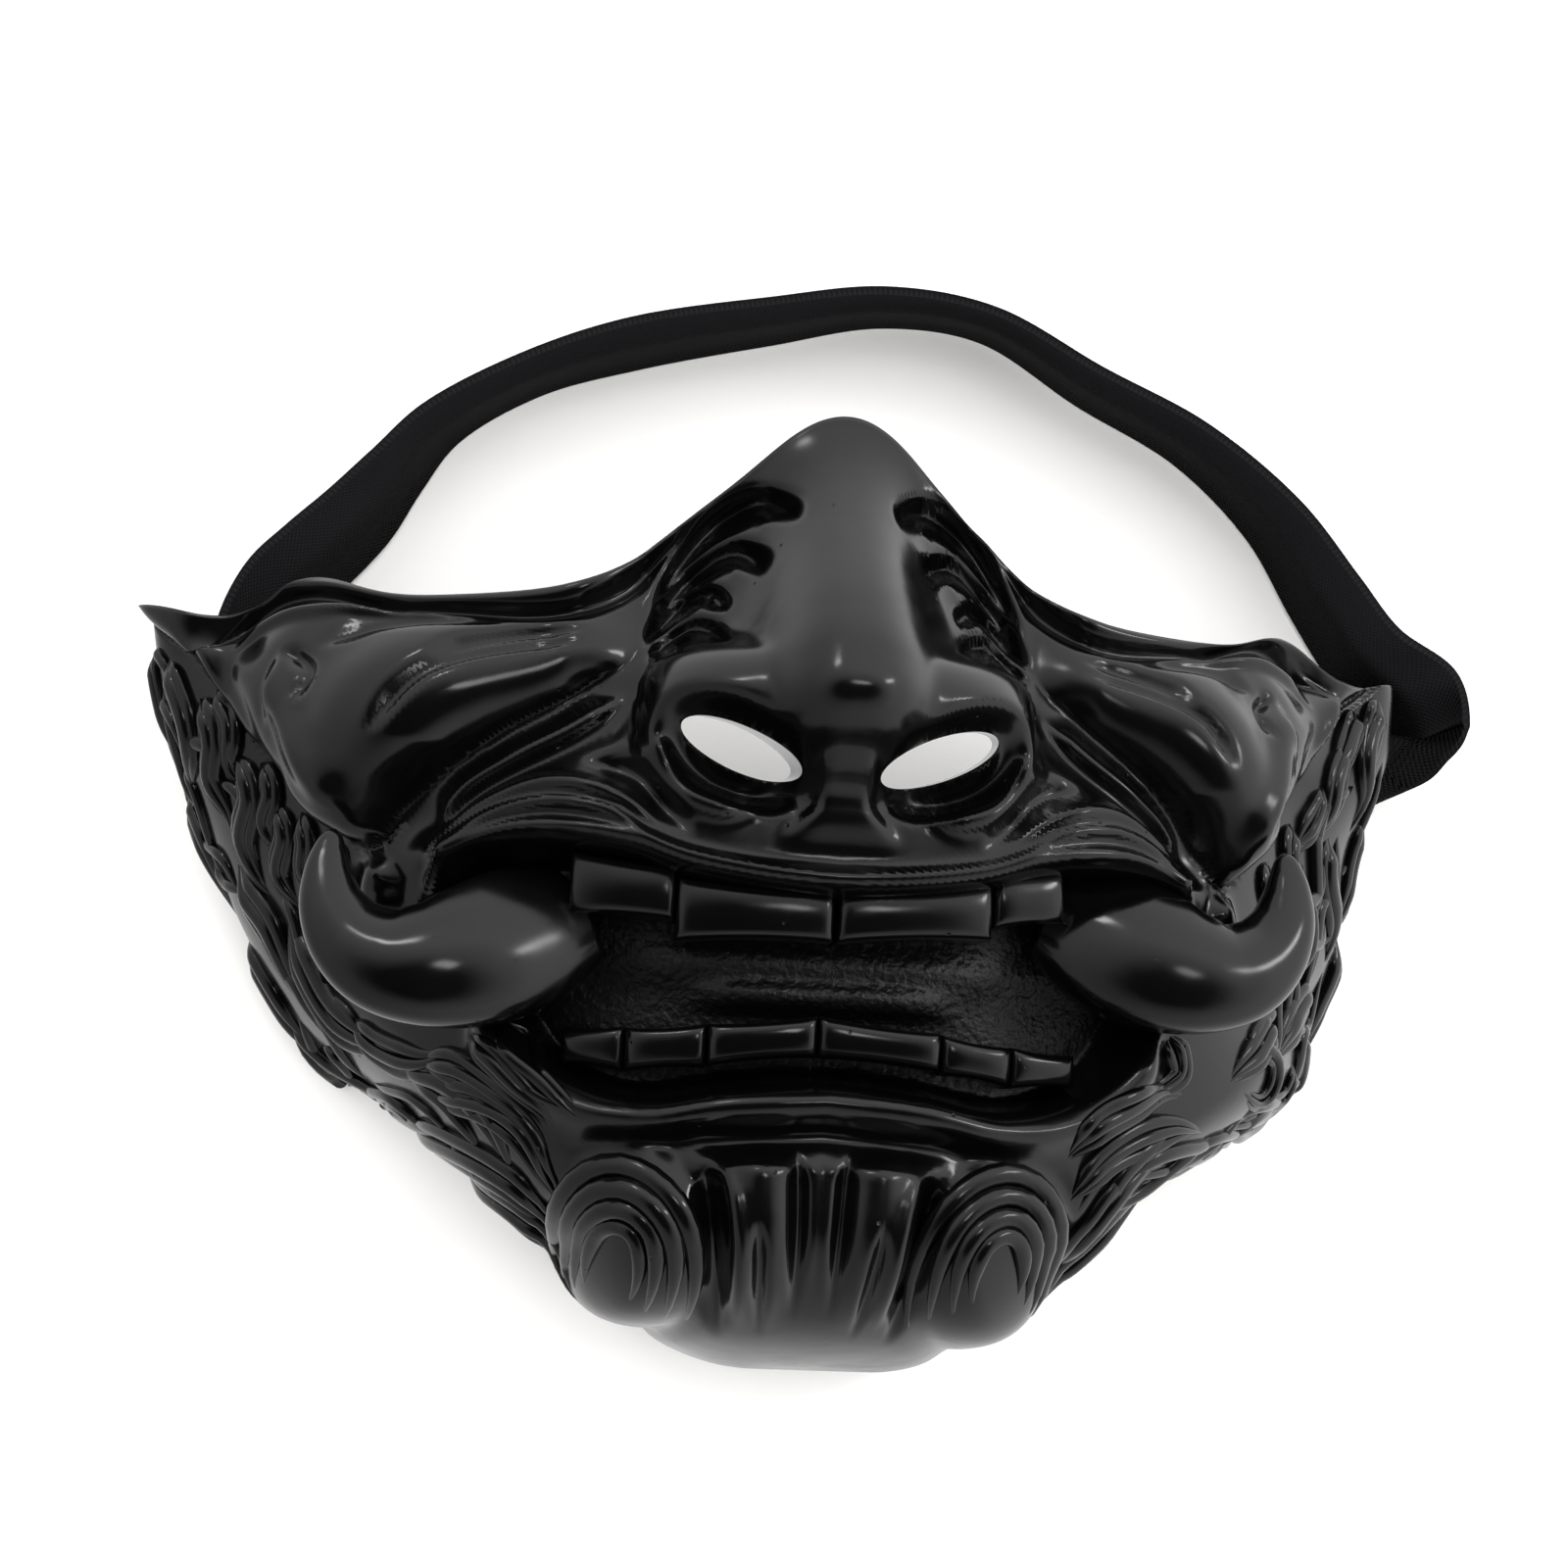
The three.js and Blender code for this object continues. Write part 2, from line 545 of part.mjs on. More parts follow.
function shellWithOpenings() {
  let solid = toSolid(shellBody());
  const cutters = [
    nostrilCutter(-1), nostrilCutter(1),
    toothStrip(upperTeeth, fitGap), toothStrip(lowerTeeth, fitGap),
    tuskBody(-1, fitGap), tuskBody(1, fitGap),
  ];
  for (const cutter of cutters) solid = solid.subtract(toSolid(cutter));
  return fromSolid(solid);
}

const model = new THREE.Group();

function addPiece(name, geometry, look) {
  const mesh = new THREE.Mesh(geometry, new THREE.MeshStandardMaterial(look));
  mesh.name = name;
  model.add(mesh);
}

addPiece('face_shell', shellWithOpenings(), resin);
addPiece('upper_teeth', toothStrip(upperTeeth), resin);
addPiece('lower_teeth', toothStrip(lowerTeeth), resin);
addPiece('tusk_right', tuskBody(-1), resin);
addPiece('tusk_left', tuskBody(1), resin);
addPiece('strap', strapBody(), elastic);

// The origin is the middle of the footprint, on the plane that the rim rests on.
const bounds = new THREE.Box3().setFromObject(model);
const middle = bounds.getCenter(new THREE.Vector3());
model.position.set(-middle.x, -middle.y, 0);

export default model;
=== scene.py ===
import bpy
import numpy as np
from mathutils import Matrix, Vector


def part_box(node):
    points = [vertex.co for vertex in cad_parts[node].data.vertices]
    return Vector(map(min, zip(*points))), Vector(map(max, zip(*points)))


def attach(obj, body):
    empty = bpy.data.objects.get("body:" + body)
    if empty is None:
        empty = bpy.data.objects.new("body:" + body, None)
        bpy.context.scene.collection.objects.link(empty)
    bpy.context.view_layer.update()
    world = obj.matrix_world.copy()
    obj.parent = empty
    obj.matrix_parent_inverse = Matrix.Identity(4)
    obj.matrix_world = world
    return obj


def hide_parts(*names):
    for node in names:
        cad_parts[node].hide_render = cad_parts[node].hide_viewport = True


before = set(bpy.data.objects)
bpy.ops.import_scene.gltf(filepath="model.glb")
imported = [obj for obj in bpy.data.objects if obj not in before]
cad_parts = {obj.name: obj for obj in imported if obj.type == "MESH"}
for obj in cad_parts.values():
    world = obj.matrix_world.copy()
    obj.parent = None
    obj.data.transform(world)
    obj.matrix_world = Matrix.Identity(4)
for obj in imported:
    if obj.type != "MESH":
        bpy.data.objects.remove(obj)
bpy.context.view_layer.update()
mm = 0.001


# small maths on arrays
def ease(low, high, x):
    t = np.clip((x - low) / (high - low), 0, 1)
    return t * t * (3 - 2 * t)


def bell(x, width, power=2.0):
    return np.exp(-(np.abs(x / width) ** power))


def softMax(a, b, blend):
    # the higher of two surfaces, with a rounded join
    return 0.5 * (a + b + np.sqrt((a - b) ** 2 + blend * blend))


def curveThrough(points, steps=48, closed=False):
    p = np.array(points, float)
    ends = (p[-1:], p[:2]) if closed else (2 * p[:1] - p[1:2], 2 * p[-1:] - p[-2:-1])
    q = np.vstack([ends[0], p, ends[1]])
    each = max(3, steps // (len(q) - 3))
    t = np.linspace(0, 1, each, endpoint=False)[:, None]
    parts = []
    for a, b, c, d in zip(q, q[1:], q[2:], q[3:]):
        bent = (2 * a - 5 * b + 4 * c - d) * t**2 + (3 * b - a - 3 * c + d) * t**3
        parts.append(0.5 * (2 * b + (c - a) * t + bent))
    if not closed:
        parts.append(p[-1:])
    return np.vstack(parts)


def runAlong(line):
    # the length from the line's start to each of its points
    return np.concatenate([[0], np.cumsum(np.linalg.norm(np.diff(line, axis=0), axis=1))])


def alongCurve(points, shares):
    line = curveThrough(points, 400)
    run = runAlong(line)
    return np.stack([np.interp(shares * run[-1], run, line[:, k]) for k in range(line.shape[1])], 1)


def readTable(x, rows, column):
    line = curveThrough(sorted((row["y"], row[column]) for row in rows), 200)
    return np.interp(x, line[:, 0], line[:, 1])


def awayFrom(line, s, y):
    # how far each place is from a drawn line, positive on its left, and the share of the line there
    near = np.full(s.shape, 1e9)
    side = np.ones(s.shape)
    share = np.zeros(s.shape)
    step = np.diff(line, axis=0)
    length = np.maximum(np.hypot(step[:, 0], step[:, 1]), 1e-9)
    run = np.concatenate([[0], np.cumsum(length)])
    for i, (dx, dy) in enumerate(step):
        ds, dt = s - line[i, 0], y - line[i, 1]
        t = np.clip((ds * dx + dt * dy) / length[i] ** 2, 0, 1)
        gap = (ds - t * dx) ** 2 + (dt - t * dy) ** 2
        closer = gap < near
        near = np.where(closer, gap, near)
        side = np.where(closer, np.where(dx * dt - dy * ds < 0, -1, 1), side)
        share = np.where(closer, (run[i] + t * length[i]) / run[-1], share)
    return np.sqrt(near) * side, share


def depthInside(outline, s, y):
    # how far each place is from a closed outline, positive inside it
    line = curveThrough(outline, 150, closed=True)
    near = np.full(s.shape, 1e9)
    within = np.zeros(s.shape, bool)
    for a, b in zip(line, np.roll(line, -1, 0)):
        d = b - a
        t = np.clip(((s - a[0]) * d[0] + (y - a[1]) * d[1]) / max(d @ d, 1e-12), 0, 1)
        near = np.minimum(near, (s - a[0] - t * d[0]) ** 2 + (y - a[1] - t * d[1]) ** 2)
        crosses = (a[1] > y) != (b[1] > y)
        within ^= crosses & (s < (b[0] - a[0]) * (y - a[1]) / (b[1] - a[1] + 1e-12) + a[0])
    return np.sqrt(near) * np.where(within, 1, -1)


def mound(s, y, at, radii, rise, turn=0.0, power=1.0):
    a = np.radians(turn)
    ds, dy = s - at[0], y - at[1]
    p, q = ds * np.cos(a) + dy * np.sin(a), dy * np.cos(a) - ds * np.sin(a)
    return rise * np.exp(-(((p / radii[0]) ** 2 + (q / radii[1]) ** 2) ** power))


# mesh and node helpers
def makeMesh(name, points, faces, material, smooth=True):
    mesh = bpy.data.meshes.new(name)
    mesh.from_pydata([tuple(p) for p in points], [], [tuple(int(i) for i in f) for f in faces])
    mesh.materials.append(material)
    if smooth:
        mesh.shade_smooth()
    piece = bpy.data.objects.new(name, mesh)
    bpy.context.scene.collection.objects.link(piece)
    return piece


def tubeFaces(count, sides):
    # joins rings of points, one after another, and closes both ends
    faces = []
    for i in range(count - 1):
        for k in range(sides):
            a, b = i * sides + k, i * sides + (k + 1) % sides
            faces.append((a, b, b + sides, a + sides))
    faces.append(tuple(range(sides))[::-1])
    faces.append(tuple((count - 1) * sides + k for k in range(sides)))
    return faces


def applyModifiers(piece):
    bpy.context.view_layer.update()
    made = bpy.data.meshes.new_from_object(piece.evaluated_get(bpy.context.evaluated_depsgraph_get()))
    piece.modifiers.clear()
    piece.data = made
    made.name = piece.name


def linear(hexColour):
    parts = [int(hexColour[i:i + 2], 16) / 255 for i in (1, 3, 5)]
    return tuple(c / 12.92 if c <= 0.04045 else ((c + 0.055) / 1.055) ** 2.4 for c in parts) + (1.0,)


def addNode(tree, kind, inputs=None, **settings):
    node = tree.nodes.new(kind)
    for name, value in settings.items():
        setattr(node, name, value)
    for name, value in (inputs or {}).items():
        socket = node.inputs[name]
        if isinstance(value, bpy.types.NodeSocket):
            tree.links.new(value, socket)
        else:
            socket.default_value = value
    return node


def newMaterial(name):
    material = bpy.data.materials.new(name)
    material.use_nodes = True
    tree = material.node_tree
    tree.nodes.clear()
    return material, tree


# where the mask lies in the frame
mask = {
    "earHalfWidth": 106, "jawHalfWidth": 78, "noseTop": 65, "cheekTop": 35.5,
    "chinBottom": -77, "jawBottom": -31, "bowlDepth": 76, "earLift": 24, "wall": 3,
    "cellsAcross": 380, "cellsDown": 196, "backReach": (8, 10),     # the back is levelled over these cells
}
shellLow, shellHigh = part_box("face_shell")
middle = np.array([(shellLow.x + shellHigh.x) / 2, shellHigh.y - mask["noseTop"] * mm, 0])


def placed(points):
    return np.asarray(points, float) * mm + middle


# camera, floor and light
view = {
    "pitch": -9, "yaw": 4.5, "roll": -2.6, "from": (-28.71, -33.78, 342.75), "lens": 45, "sensor": 36,
}


def addCamera():
    turn = Matrix.Identity(3)
    for angle, axis in (("roll", "Z"), ("pitch", "X"), ("yaw", "Y")):
        turn = turn @ Matrix.Rotation(np.radians(view[angle]), 3, axis)
    lensData = bpy.data.cameras.new("camera")
    lensData.sensor_width = view["sensor"]
    lensData.lens = view["lens"]
    lensData.clip_start = 0.01
    camera = bpy.data.objects.new("camera", lensData)
    camera.matrix_world = Matrix.Translation(placed(view["from"])) @ turn.transposed().to_4x4()
    bpy.context.scene.collection.objects.link(camera)
    bpy.context.scene.camera = camera


studio = {
    # the room is a bright tent with a dark opening overhead: how bright it is by nearness to the
    # opening, and how much brighter its walls get towards x and y
    "floorColour": "#f4f3f1", "opening": (-0.08, -0.30, 0.95),
    "room": ((0.0, 0.85), (0.5, 1.0), (0.74, 0.7), (0.9, 0.03)), "walls": (0.4, 0.38, 0.0),
    # name, place and aim in metres, width and height, watts, whether it shows in the gloss
    "lights": (
        ("topWindow", (0.10, 0.16, 1.10), (0, 0, 0.07), (0.22, 0.14), 0.55, True),
        ("sideWindow", (0.62, 0.30, 0.62), (0, 0, 0.07), (0.10, 0.26), 0.9, True),
        ("backWindow", (-0.35, 0.75, 0.60), (0, 0, 0.07), (0.16, 0.08), 0.5, True),
        ("floorFill", (0, 0, 1.6), (0, 0, 0), (2.6, 2.6), 52.0, False),
    ),
}


def addStage():
    scene = bpy.context.scene
    scene.view_settings.view_transform = "Standard"
    world = bpy.data.worlds.new("studio")
    world.use_nodes = True
    tree = world.node_tree
    toSky = addNode(tree, "ShaderNodeTexCoord").outputs["Generated"]
    towards = addNode(tree, "ShaderNodeVectorMath", {0: toSky, 1: studio["opening"]}, operation="DOT_PRODUCT")
    room = addNode(tree, "ShaderNodeValToRGB", {"Fac": towards.outputs["Value"]})
    room.color_ramp.elements.remove(room.color_ramp.elements[1])
    for i, (place, bright) in enumerate(studio["room"]):
        stop = room.color_ramp.elements.new(place) if i else room.color_ramp.elements[0]
        stop.position = place
        stop.color = (bright, bright, bright, 1)
    uneven = addNode(tree, "ShaderNodeVectorMath", {0: toSky, 1: studio["walls"]}, operation="DOT_PRODUCT")
    strength = addNode(tree, "ShaderNodeMath", {0: uneven.outputs["Value"], 1: 1.0}, operation="ADD")
    background = tree.nodes["Background"]
    tree.links.new(room.outputs["Color"], background.inputs["Color"])
    tree.links.new(strength.outputs["Value"], background.inputs["Strength"])
    scene.world = world
    material, tree = newMaterial("palePaperBackdrop")
    surface = addNode(tree, "ShaderNodeBsdfPrincipled", {
        "Base Color": linear(studio["floorColour"]), "Roughness": 0.85, "Specular IOR Level": 0.1})
    addNode(tree, "ShaderNodeOutputMaterial", {"Surface": surface.outputs[0]})
    half = 3.0
    corners = [(-half, -half, 0), (half, -half, 0), (half, half, 0), (-half, half, 0)]
    floor = makeMesh("studio_floor", corners, [(0, 1, 2, 3)], material, smooth=False)
    floor.visible_glossy = False      # the resin mirrors the dim room, not the bright paper
    for name, place, aim, size, watts, showsInGloss in studio["lights"]:
        lamp = bpy.data.lights.new(name, "AREA")
        lamp.shape = "RECTANGLE"
        lamp.size, lamp.size_y = size
        lamp.energy = watts
        holder = bpy.data.objects.new(name, lamp)
        holder.location = place
        holder.rotation_euler = (Vector(aim) - Vector(place)).to_track_quat("-Z", "Y").to_euler()
        holder.visible_glossy = showsInGloss
        scene.collection.objects.link(holder)


addCamera()
addStage()
print("camera and studio are set")

# materials
resinLook = {
    "colour": "#040404", "roughnessLow": 0.10, "roughnessHigh": 0.26, "swirl": 26,
    "pitCell": 5.5, "pitSize": 0.055, "ripple": 9, "grain": 1.1, "mouthRoughness": 0.34,
    "mouthRaw": 0.9, "backRaw": 0.35,     # how unpolished the mouth's floor and the back are
}


def blackCastResin():
    # thin liquid resin cured in a mould: deep black, wet gloss with uneven polish and a few air pits
    material, tree = newMaterial("blackCastPolyurethaneResin")
    coords = addNode(tree, "ShaderNodeTexCoord").outputs["Object"]
    polish = addNode(tree, "ShaderNodeTexNoise", {
        "Vector": coords, "Scale": 1 / (resinLook["swirl"] * mm), "Detail": 5.0, "Roughness": 0.6})
    gloss = addNode(tree, "ShaderNodeMapRange", {
        "Value": polish.outputs["Fac"], "From Min": 0.3, "From Max": 0.7,
        "To Min": resinLook["roughnessLow"], "To Max": resinLook["roughnessHigh"]})
    rough = addNode(tree, "ShaderNodeAttribute", attribute_name="rawCast")
    finish = addNode(tree, "ShaderNodeMapRange", {
        "Value": rough.outputs["Fac"], "To Min": gloss.outputs["Result"],
        "To Max": resinLook["mouthRoughness"]})
    ripple = addNode(tree, "ShaderNodeTexNoise", {
        "Vector": coords, "Scale": 1 / (resinLook["ripple"] * mm), "Detail": 2.0})
    waves = addNode(tree, "ShaderNodeBump", {
        "Height": ripple.outputs["Fac"], "Strength": 0.25, "Distance": 0.35 * mm})
    cells = addNode(tree, "ShaderNodeTexVoronoi", {
        "Vector": coords, "Scale": 1 / (resinLook["pitCell"] * mm), "Randomness": 1.0})
    pit = addNode(tree, "ShaderNodeMapRange", {
        "Value": cells.outputs["Distance"], "From Min": 0.0, "From Max": resinLook["pitSize"],
        "To Min": 0.0, "To Max": 1.0})
    pits = addNode(tree, "ShaderNodeBump", {
        "Height": pit.outputs["Result"], "Strength": 0.8, "Distance": 0.25 * mm,
        "Normal": waves.outputs["Normal"]})
    grain = addNode(tree, "ShaderNodeTexNoise", {
        "Vector": coords, "Scale": 1 / (resinLook["grain"] * mm), "Detail": 6.0})
    scuffed = addNode(tree, "ShaderNodeBump", {
        "Height": grain.outputs["Fac"], "Strength": rough.outputs["Fac"], "Distance": 0.5 * mm,
        "Normal": pits.outputs["Normal"]})
    surface = addNode(tree, "ShaderNodeBsdfPrincipled", {
        "Base Color": linear(resinLook["colour"]), "Roughness": finish.outputs["Result"],
        "Normal": scuffed.outputs["Normal"]})
    addNode(tree, "ShaderNodeOutputMaterial", {"Surface": surface.outputs[0]})
    return material


webbingLook = {"colour": "#151516", "light": "#1e1e20", "ribPitch": 1.25, "pickPitch": 0.9}


def blackWovenElastic():
    # knitted elastic webbing: matte yarn in ribs along the band, crossed by fine picks
    material, tree = newMaterial("blackWovenElasticWebbing")
    along = addNode(tree, "ShaderNodeUVMap", uv_map="band")
    split = addNode(tree, "ShaderNodeSeparateXYZ", {"Vector": along.outputs["UV"]})
    waves = {}
    for axis, pitch in (("X", webbingLook["pickPitch"]), ("Y", webbingLook["ribPitch"])):
        phase = addNode(tree, "ShaderNodeMath", {
            0: split.outputs[axis], 1: 2 * np.pi / (pitch * mm)}, operation="MULTIPLY")
        waves[axis] = addNode(tree, "ShaderNodeMath", {0: phase.outputs[0]}, operation="SINE")
    yarn = addNode(tree, "ShaderNodeMath", {
        0: waves["X"].outputs[0], 1: waves["Y"].outputs[0]}, operation="MULTIPLY")
    shade = addNode(tree, "ShaderNodeMapRange", {
        "Value": yarn.outputs[0], "From Min": -1.0, "From Max": 1.0, "To Min": 0.0, "To Max": 1.0})
    tint = addNode(tree, "ShaderNodeMix", {
        "Factor": shade.outputs["Result"], "A": linear(webbingLook["colour"]),
        "B": linear(webbingLook["light"])}, data_type="RGBA")
    relief = addNode(tree, "ShaderNodeBump", {
        "Height": yarn.outputs[0], "Strength": 0.6, "Distance": 0.15 * mm})
    surface = addNode(tree, "ShaderNodeBsdfPrincipled", {
        "Base Color": tint.outputs["Result"], "Roughness": 0.95, "Specular IOR Level": 0.05,
        "Normal": relief.outputs["Normal"]})
    addNode(tree, "ShaderNodeOutputMaterial", {"Surface": surface.outputs[0]})
    return material


resin = blackCastResin()
elastic = blackWovenElastic()

# strap: a flat band that stands on its edge round the arc and is glued inside both ear corners
strap = {"width": 25, "thick": 1.5, "steps": 420, "edgeDip": 0.45}
strapRoute = [   # lower edge, upper edge
    ((-88.8, -5, 12), (-77.6, -5, 35)),
    ((-93.2, 5, 11.5), (-83.4, 5, 34.5)),
    ((-96.2, 15, 9.5), (-89, 15, 33)),
    ((-97.5, 26, 5), (-95.5, 27, 30)),
    ((-93, 37, 1.5), (-96.5, 38.5, 26.2)),
    ((-87, 45.5, 0.8), (-93, 48.5, 25)),
    ((-80.6, 52, 0.8), (-87.5, 55, 24.8)),
    ((-74.1, 60.5, 0.8), (-81, 61.5, 25)),
    ((-69.4, 69.9, 0.6), (-74.5, 68.5, 25.3)),
    ((-63.5, 79.4, 0.6), (-66.7, 76.9, 25.6)),
    ((-49.4, 89.4, 0.6), (-50.8, 87, 25.8)),
    ((-32.1, 95.7, 0.6), (-33.5, 94.5, 25.9)),
    ((-8, 102.3, 0.6), (-10, 100, 25.8)),
    ((12.5, 107.3, 0.6), (10.5, 103.6, 25.6)),
    ((30.9, 105.9, 0.6), (29, 101.5, 25.5)),
    ((49.6, 94.9, 0.6), (48, 92, 25.8)),
    ((68.3, 84.8, 0.6), (66.6, 83.2, 25.9)),
    ((82.1, 71.4, 0.6), (83, 70.6, 26)),
    ((90.5, 57, 0.6), (93.5, 58, 25.5)),
    ((96.8, 47, 0.6), (100.6, 49.4, 25.2)),
    ((103.5, 38.8, 0.6), (111, 42.7, 23.3)),
    ((109.8, 32.4, 0.8), (112.4, 33.6, 25.3)),
    ((102, 37, 0.8), (110.2, 28.2, 22.5)),
    ((90, 38, 1), (106.8, 24, 12)),
    ((81.8, 33.3, 1.4), (98, 19.4, 12.6)),
    ((84.6, 27.5, 2.6), (94.5, 17, 22)),
    ((90, 21.5, 6), (92, 14.5, 29)),
    ((93.2, 12, 10.5), (86, 10, 33.5)),
    ((93.2, 5, 11.5), (83.4, 5, 34.5)),
    ((88.8, -5, 12), (77.6, -5, 35)),
]


def centripetal(points, perSpan):
    # an even, tight curve through unevenly spaced points
    p = [np.array(q, float) for q in points]
    p = [2 * p[0] - p[1]] + p + [2 * p[-1] - p[-2]]
    made = []
    for a, b, c, d in zip(p, p[1:], p[2:], p[3:]):
        gaps = [np.linalg.norm(far - near) ** 0.5 for near, far in ((a, b), (b, c), (c, d))]
        knots = np.concatenate([[0], np.cumsum(gaps)])

        def between(low, high, i, j, t):
            return low + (high - low) * (t - knots[i]) / (knots[j] - knots[i])

        for t in np.linspace(knots[1], knots[2], perSpan, endpoint=False):
            ab, bc, cd = between(a, b, 0, 1, t), between(b, c, 1, 2, t), between(c, d, 2, 3, t)
            made.append(between(between(ab, bc, 0, 2, t), between(bc, cd, 1, 3, t), 1, 2, t))
    made.append(p[-2])
    return np.array(made)


def buildStrap():
    perSpan = strap["steps"] // (len(strapRoute) - 1)
    low = centripetal([row[0] for row in strapRoute], perSpan)
    high = centripetal([row[1] for row in strapRoute], perSpan)
    across = (high - low) / np.linalg.norm(high - low, axis=1, keepdims=True)
    along = np.gradient(low, axis=0)
    along /= np.linalg.norm(along, axis=1, keepdims=True)
    alongHigh = np.gradient(high, axis=0)
    along = along + alongHigh / np.linalg.norm(alongHigh, axis=1, keepdims=True)
    out = np.cross(along, across)
    out /= np.linalg.norm(out, axis=1, keepdims=True)
    half, dip = strap["thick"] / 2, strap["edgeDip"]
    section = []      # across and out, round the band; its long edges dip in along their middles
    for edge, start, inward in ((0, 180, 1), (strap["width"], 0, -1)):
        for angle in np.radians(np.linspace(start, start + 180, 7)):
            section.append((edge + inward * dip + dip * np.sin(angle - np.pi), half * np.cos(angle)))
    rings = [low + across * a + out * b for a, b in section]
    points = np.stack(rings, 1)
    count, sides = points.shape[:2]
    run = runAlong(low + across * strap["width"] / 2)
    piece = makeMesh("elastic_strap", placed(points.reshape(-1, 3)), tubeFaces(count, sides), elastic)
    bands = piece.data.uv_layers.new(name="band")
    place = np.array([(run[i], section[k][0]) for i in range(count) for k in range(sides)]) * mm
    for loop in piece.data.loops:
        bands.data[loop.index].uv = place[loop.vertex_index]
    print("strap length in mm", round(float(run[-1]), 1))
    return piece


strapPiece = buildStrap()
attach(strapPiece, "root")
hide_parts("strap")
print("strap is made")


# the bowl: the face without its features
def topEdge(x):
    a = np.abs(x)
    rise = (mask["noseTop"] - mask["cheekTop"]) * bell(a, np.where(x > 0, 21, 22.5)) + 2.5 * bell(a - 24, 9)
    return mask["cheekTop"] + rise + 4 * bell(a - 75, 9) - 1.5 * bell(a - 91, 7) + 1.5 * ease(94, 106, a)


def bottomEdge(x):
    flat = np.where(x < 0, 5, 14)      # the chin's foot is cut back on the wearer's right
    return mask["chinBottom"] + (mask["jawBottom"] - mask["chinBottom"]) * ease(flat, 84, np.abs(x))


def sideEdge(drop):
    return mask["earHalfWidth"] - 5 * drop - (mask["earHalfWidth"] - mask["jawHalfWidth"] - 5) * drop**2


def depthAt(drop):
    under = np.clip((drop - 0.8) / 0.2, 0, 1)
    deep = mask["bowlDepth"] - 10 * (1 - ease(0, 0.28, drop)) - 6 * ease(0.45, 0.9, drop)
    return deep * np.sqrt(np.clip(1 - under**2, 0, 1))


def bowlAt(u, drop):
    # u runs from ear to ear, -1 to 1, and drop from the upper edge, 0, to the lower one, 1;
    # the wearer's left cheek is drawn in a little, as the casting has warped
    turn = u * (1 - 0.035 * (1 - ease(0, 0.1, drop))) * np.pi / 2
    x = sideEdge(drop) * np.sin(turn)
    y = topEdge(x) * (1 - drop) + bottomEdge(x) * drop
    lean = (7.5 * ease(-12, 14, y) + 2.5 * ease(24, 40, y)) * ease(15, 100, x)
    lean -= 9 * bell(y + 33, 12) * ease(30, 80, x)
    lift = mask["earLift"] * (1 - ease(0, 0.6, drop)) * ease(0.5, 1, np.abs(u))
    z = lift + depthAt(drop) * np.abs(np.cos(turn)) ** 0.95
    return np.stack([x - lean, y, z], -1), sideEdge(drop) * turn


def reliefWay(u, drop, s, y):
    # relief stands straight up in the middle of the face and square to the bowl at its sides and chin
    step = 0.004
    across = bowlAt(np.clip(u + step, -1, 1), drop)[0] - bowlAt(np.clip(u - step, -1, 1), drop)[0]
    down = bowlAt(u, np.clip(drop + step, 0, 1))[0] - bowlAt(u, np.clip(drop - step, 0, 1))[0]
    square = np.cross(down, across)
    square /= np.linalg.norm(square, axis=-1, keepdims=True)
    side = np.maximum(ease(25, 60, np.abs(s)), ease(-52, -66, y))[..., None]
    way = square * side + np.array([0, 0, 1.0]) * (1 - side)
    rim = (np.abs(u) > 0.9999) | (drop > 0.9999)
    way[..., 2] = np.where(rim, 0, way[..., 2])
    return way / np.linalg.norm(way, axis=-1, keepdims=True)


def onFace(s, y, out):
    # the place that lies s across and y up the face, out above the bowl
    s, y, out = np.broadcast_arrays(np.asarray(s, float), np.asarray(y, float), np.asarray(out, float))
    drop = np.full(s.shape, 0.5)
    for _ in range(14):
        u = np.clip(s / sideEdge(drop) * 2 / np.pi, -0.985, 0.985)
        x = sideEdge(drop) * np.sin(u * np.pi / 2)
        drop = (topEdge(x) - y) / (topEdge(x) - bottomEdge(x))
    return bowlAt(u, drop)[0] + reliefWay(u, drop, s, y) * out[..., None]


# relief above the bowl; every row has its mirror twin
noseRows = [   # height up the face, rise above the bowl, half width
    {"y": 80, "rise": 1, "wide": 13}, {"y": 66, "rise": 2, "wide": 12},
    {"y": 54, "rise": 6, "wide": 10.5}, {"y": 42, "rise": 11.5, "wide": 11},
    {"y": 32, "rise": 17, "wide": 12.5}, {"y": 24, "rise": 21.5, "wide": 14},
    {"y": 18, "rise": 23, "wide": 14.5}, {"y": 13.5, "rise": 19, "wide": 12.5},
    {"y": 10, "rise": 10, "wide": 9}, {"y": 6, "rise": 3, "wide": 7},
    {"y": 0, "rise": 1, "wide": 7}, {"y": -10, "rise": 0, "wide": 7},
]
wingRows = [   # the hood over the nostrils: its rise and half width
    {"y": 40, "rise": 0, "wide": 15}, {"y": 33, "rise": 1, "wide": 17},
    {"y": 29.5, "rise": 4.5, "wide": 21}, {"y": 27, "rise": 9, "wide": 25},
    {"y": 24, "rise": 13.4, "wide": 27.8}, {"y": 19, "rise": 16, "wide": 28.6},
    {"y": 14, "rise": 15, "wide": 28.2}, {"y": 10, "rise": 11, "wide": 26},
    {"y": 6, "rise": 5, "wide": 21}, {"y": 2, "rise": 0, "wide": 15}, {"y": -4, "rise": 0, "wide": 14},
]
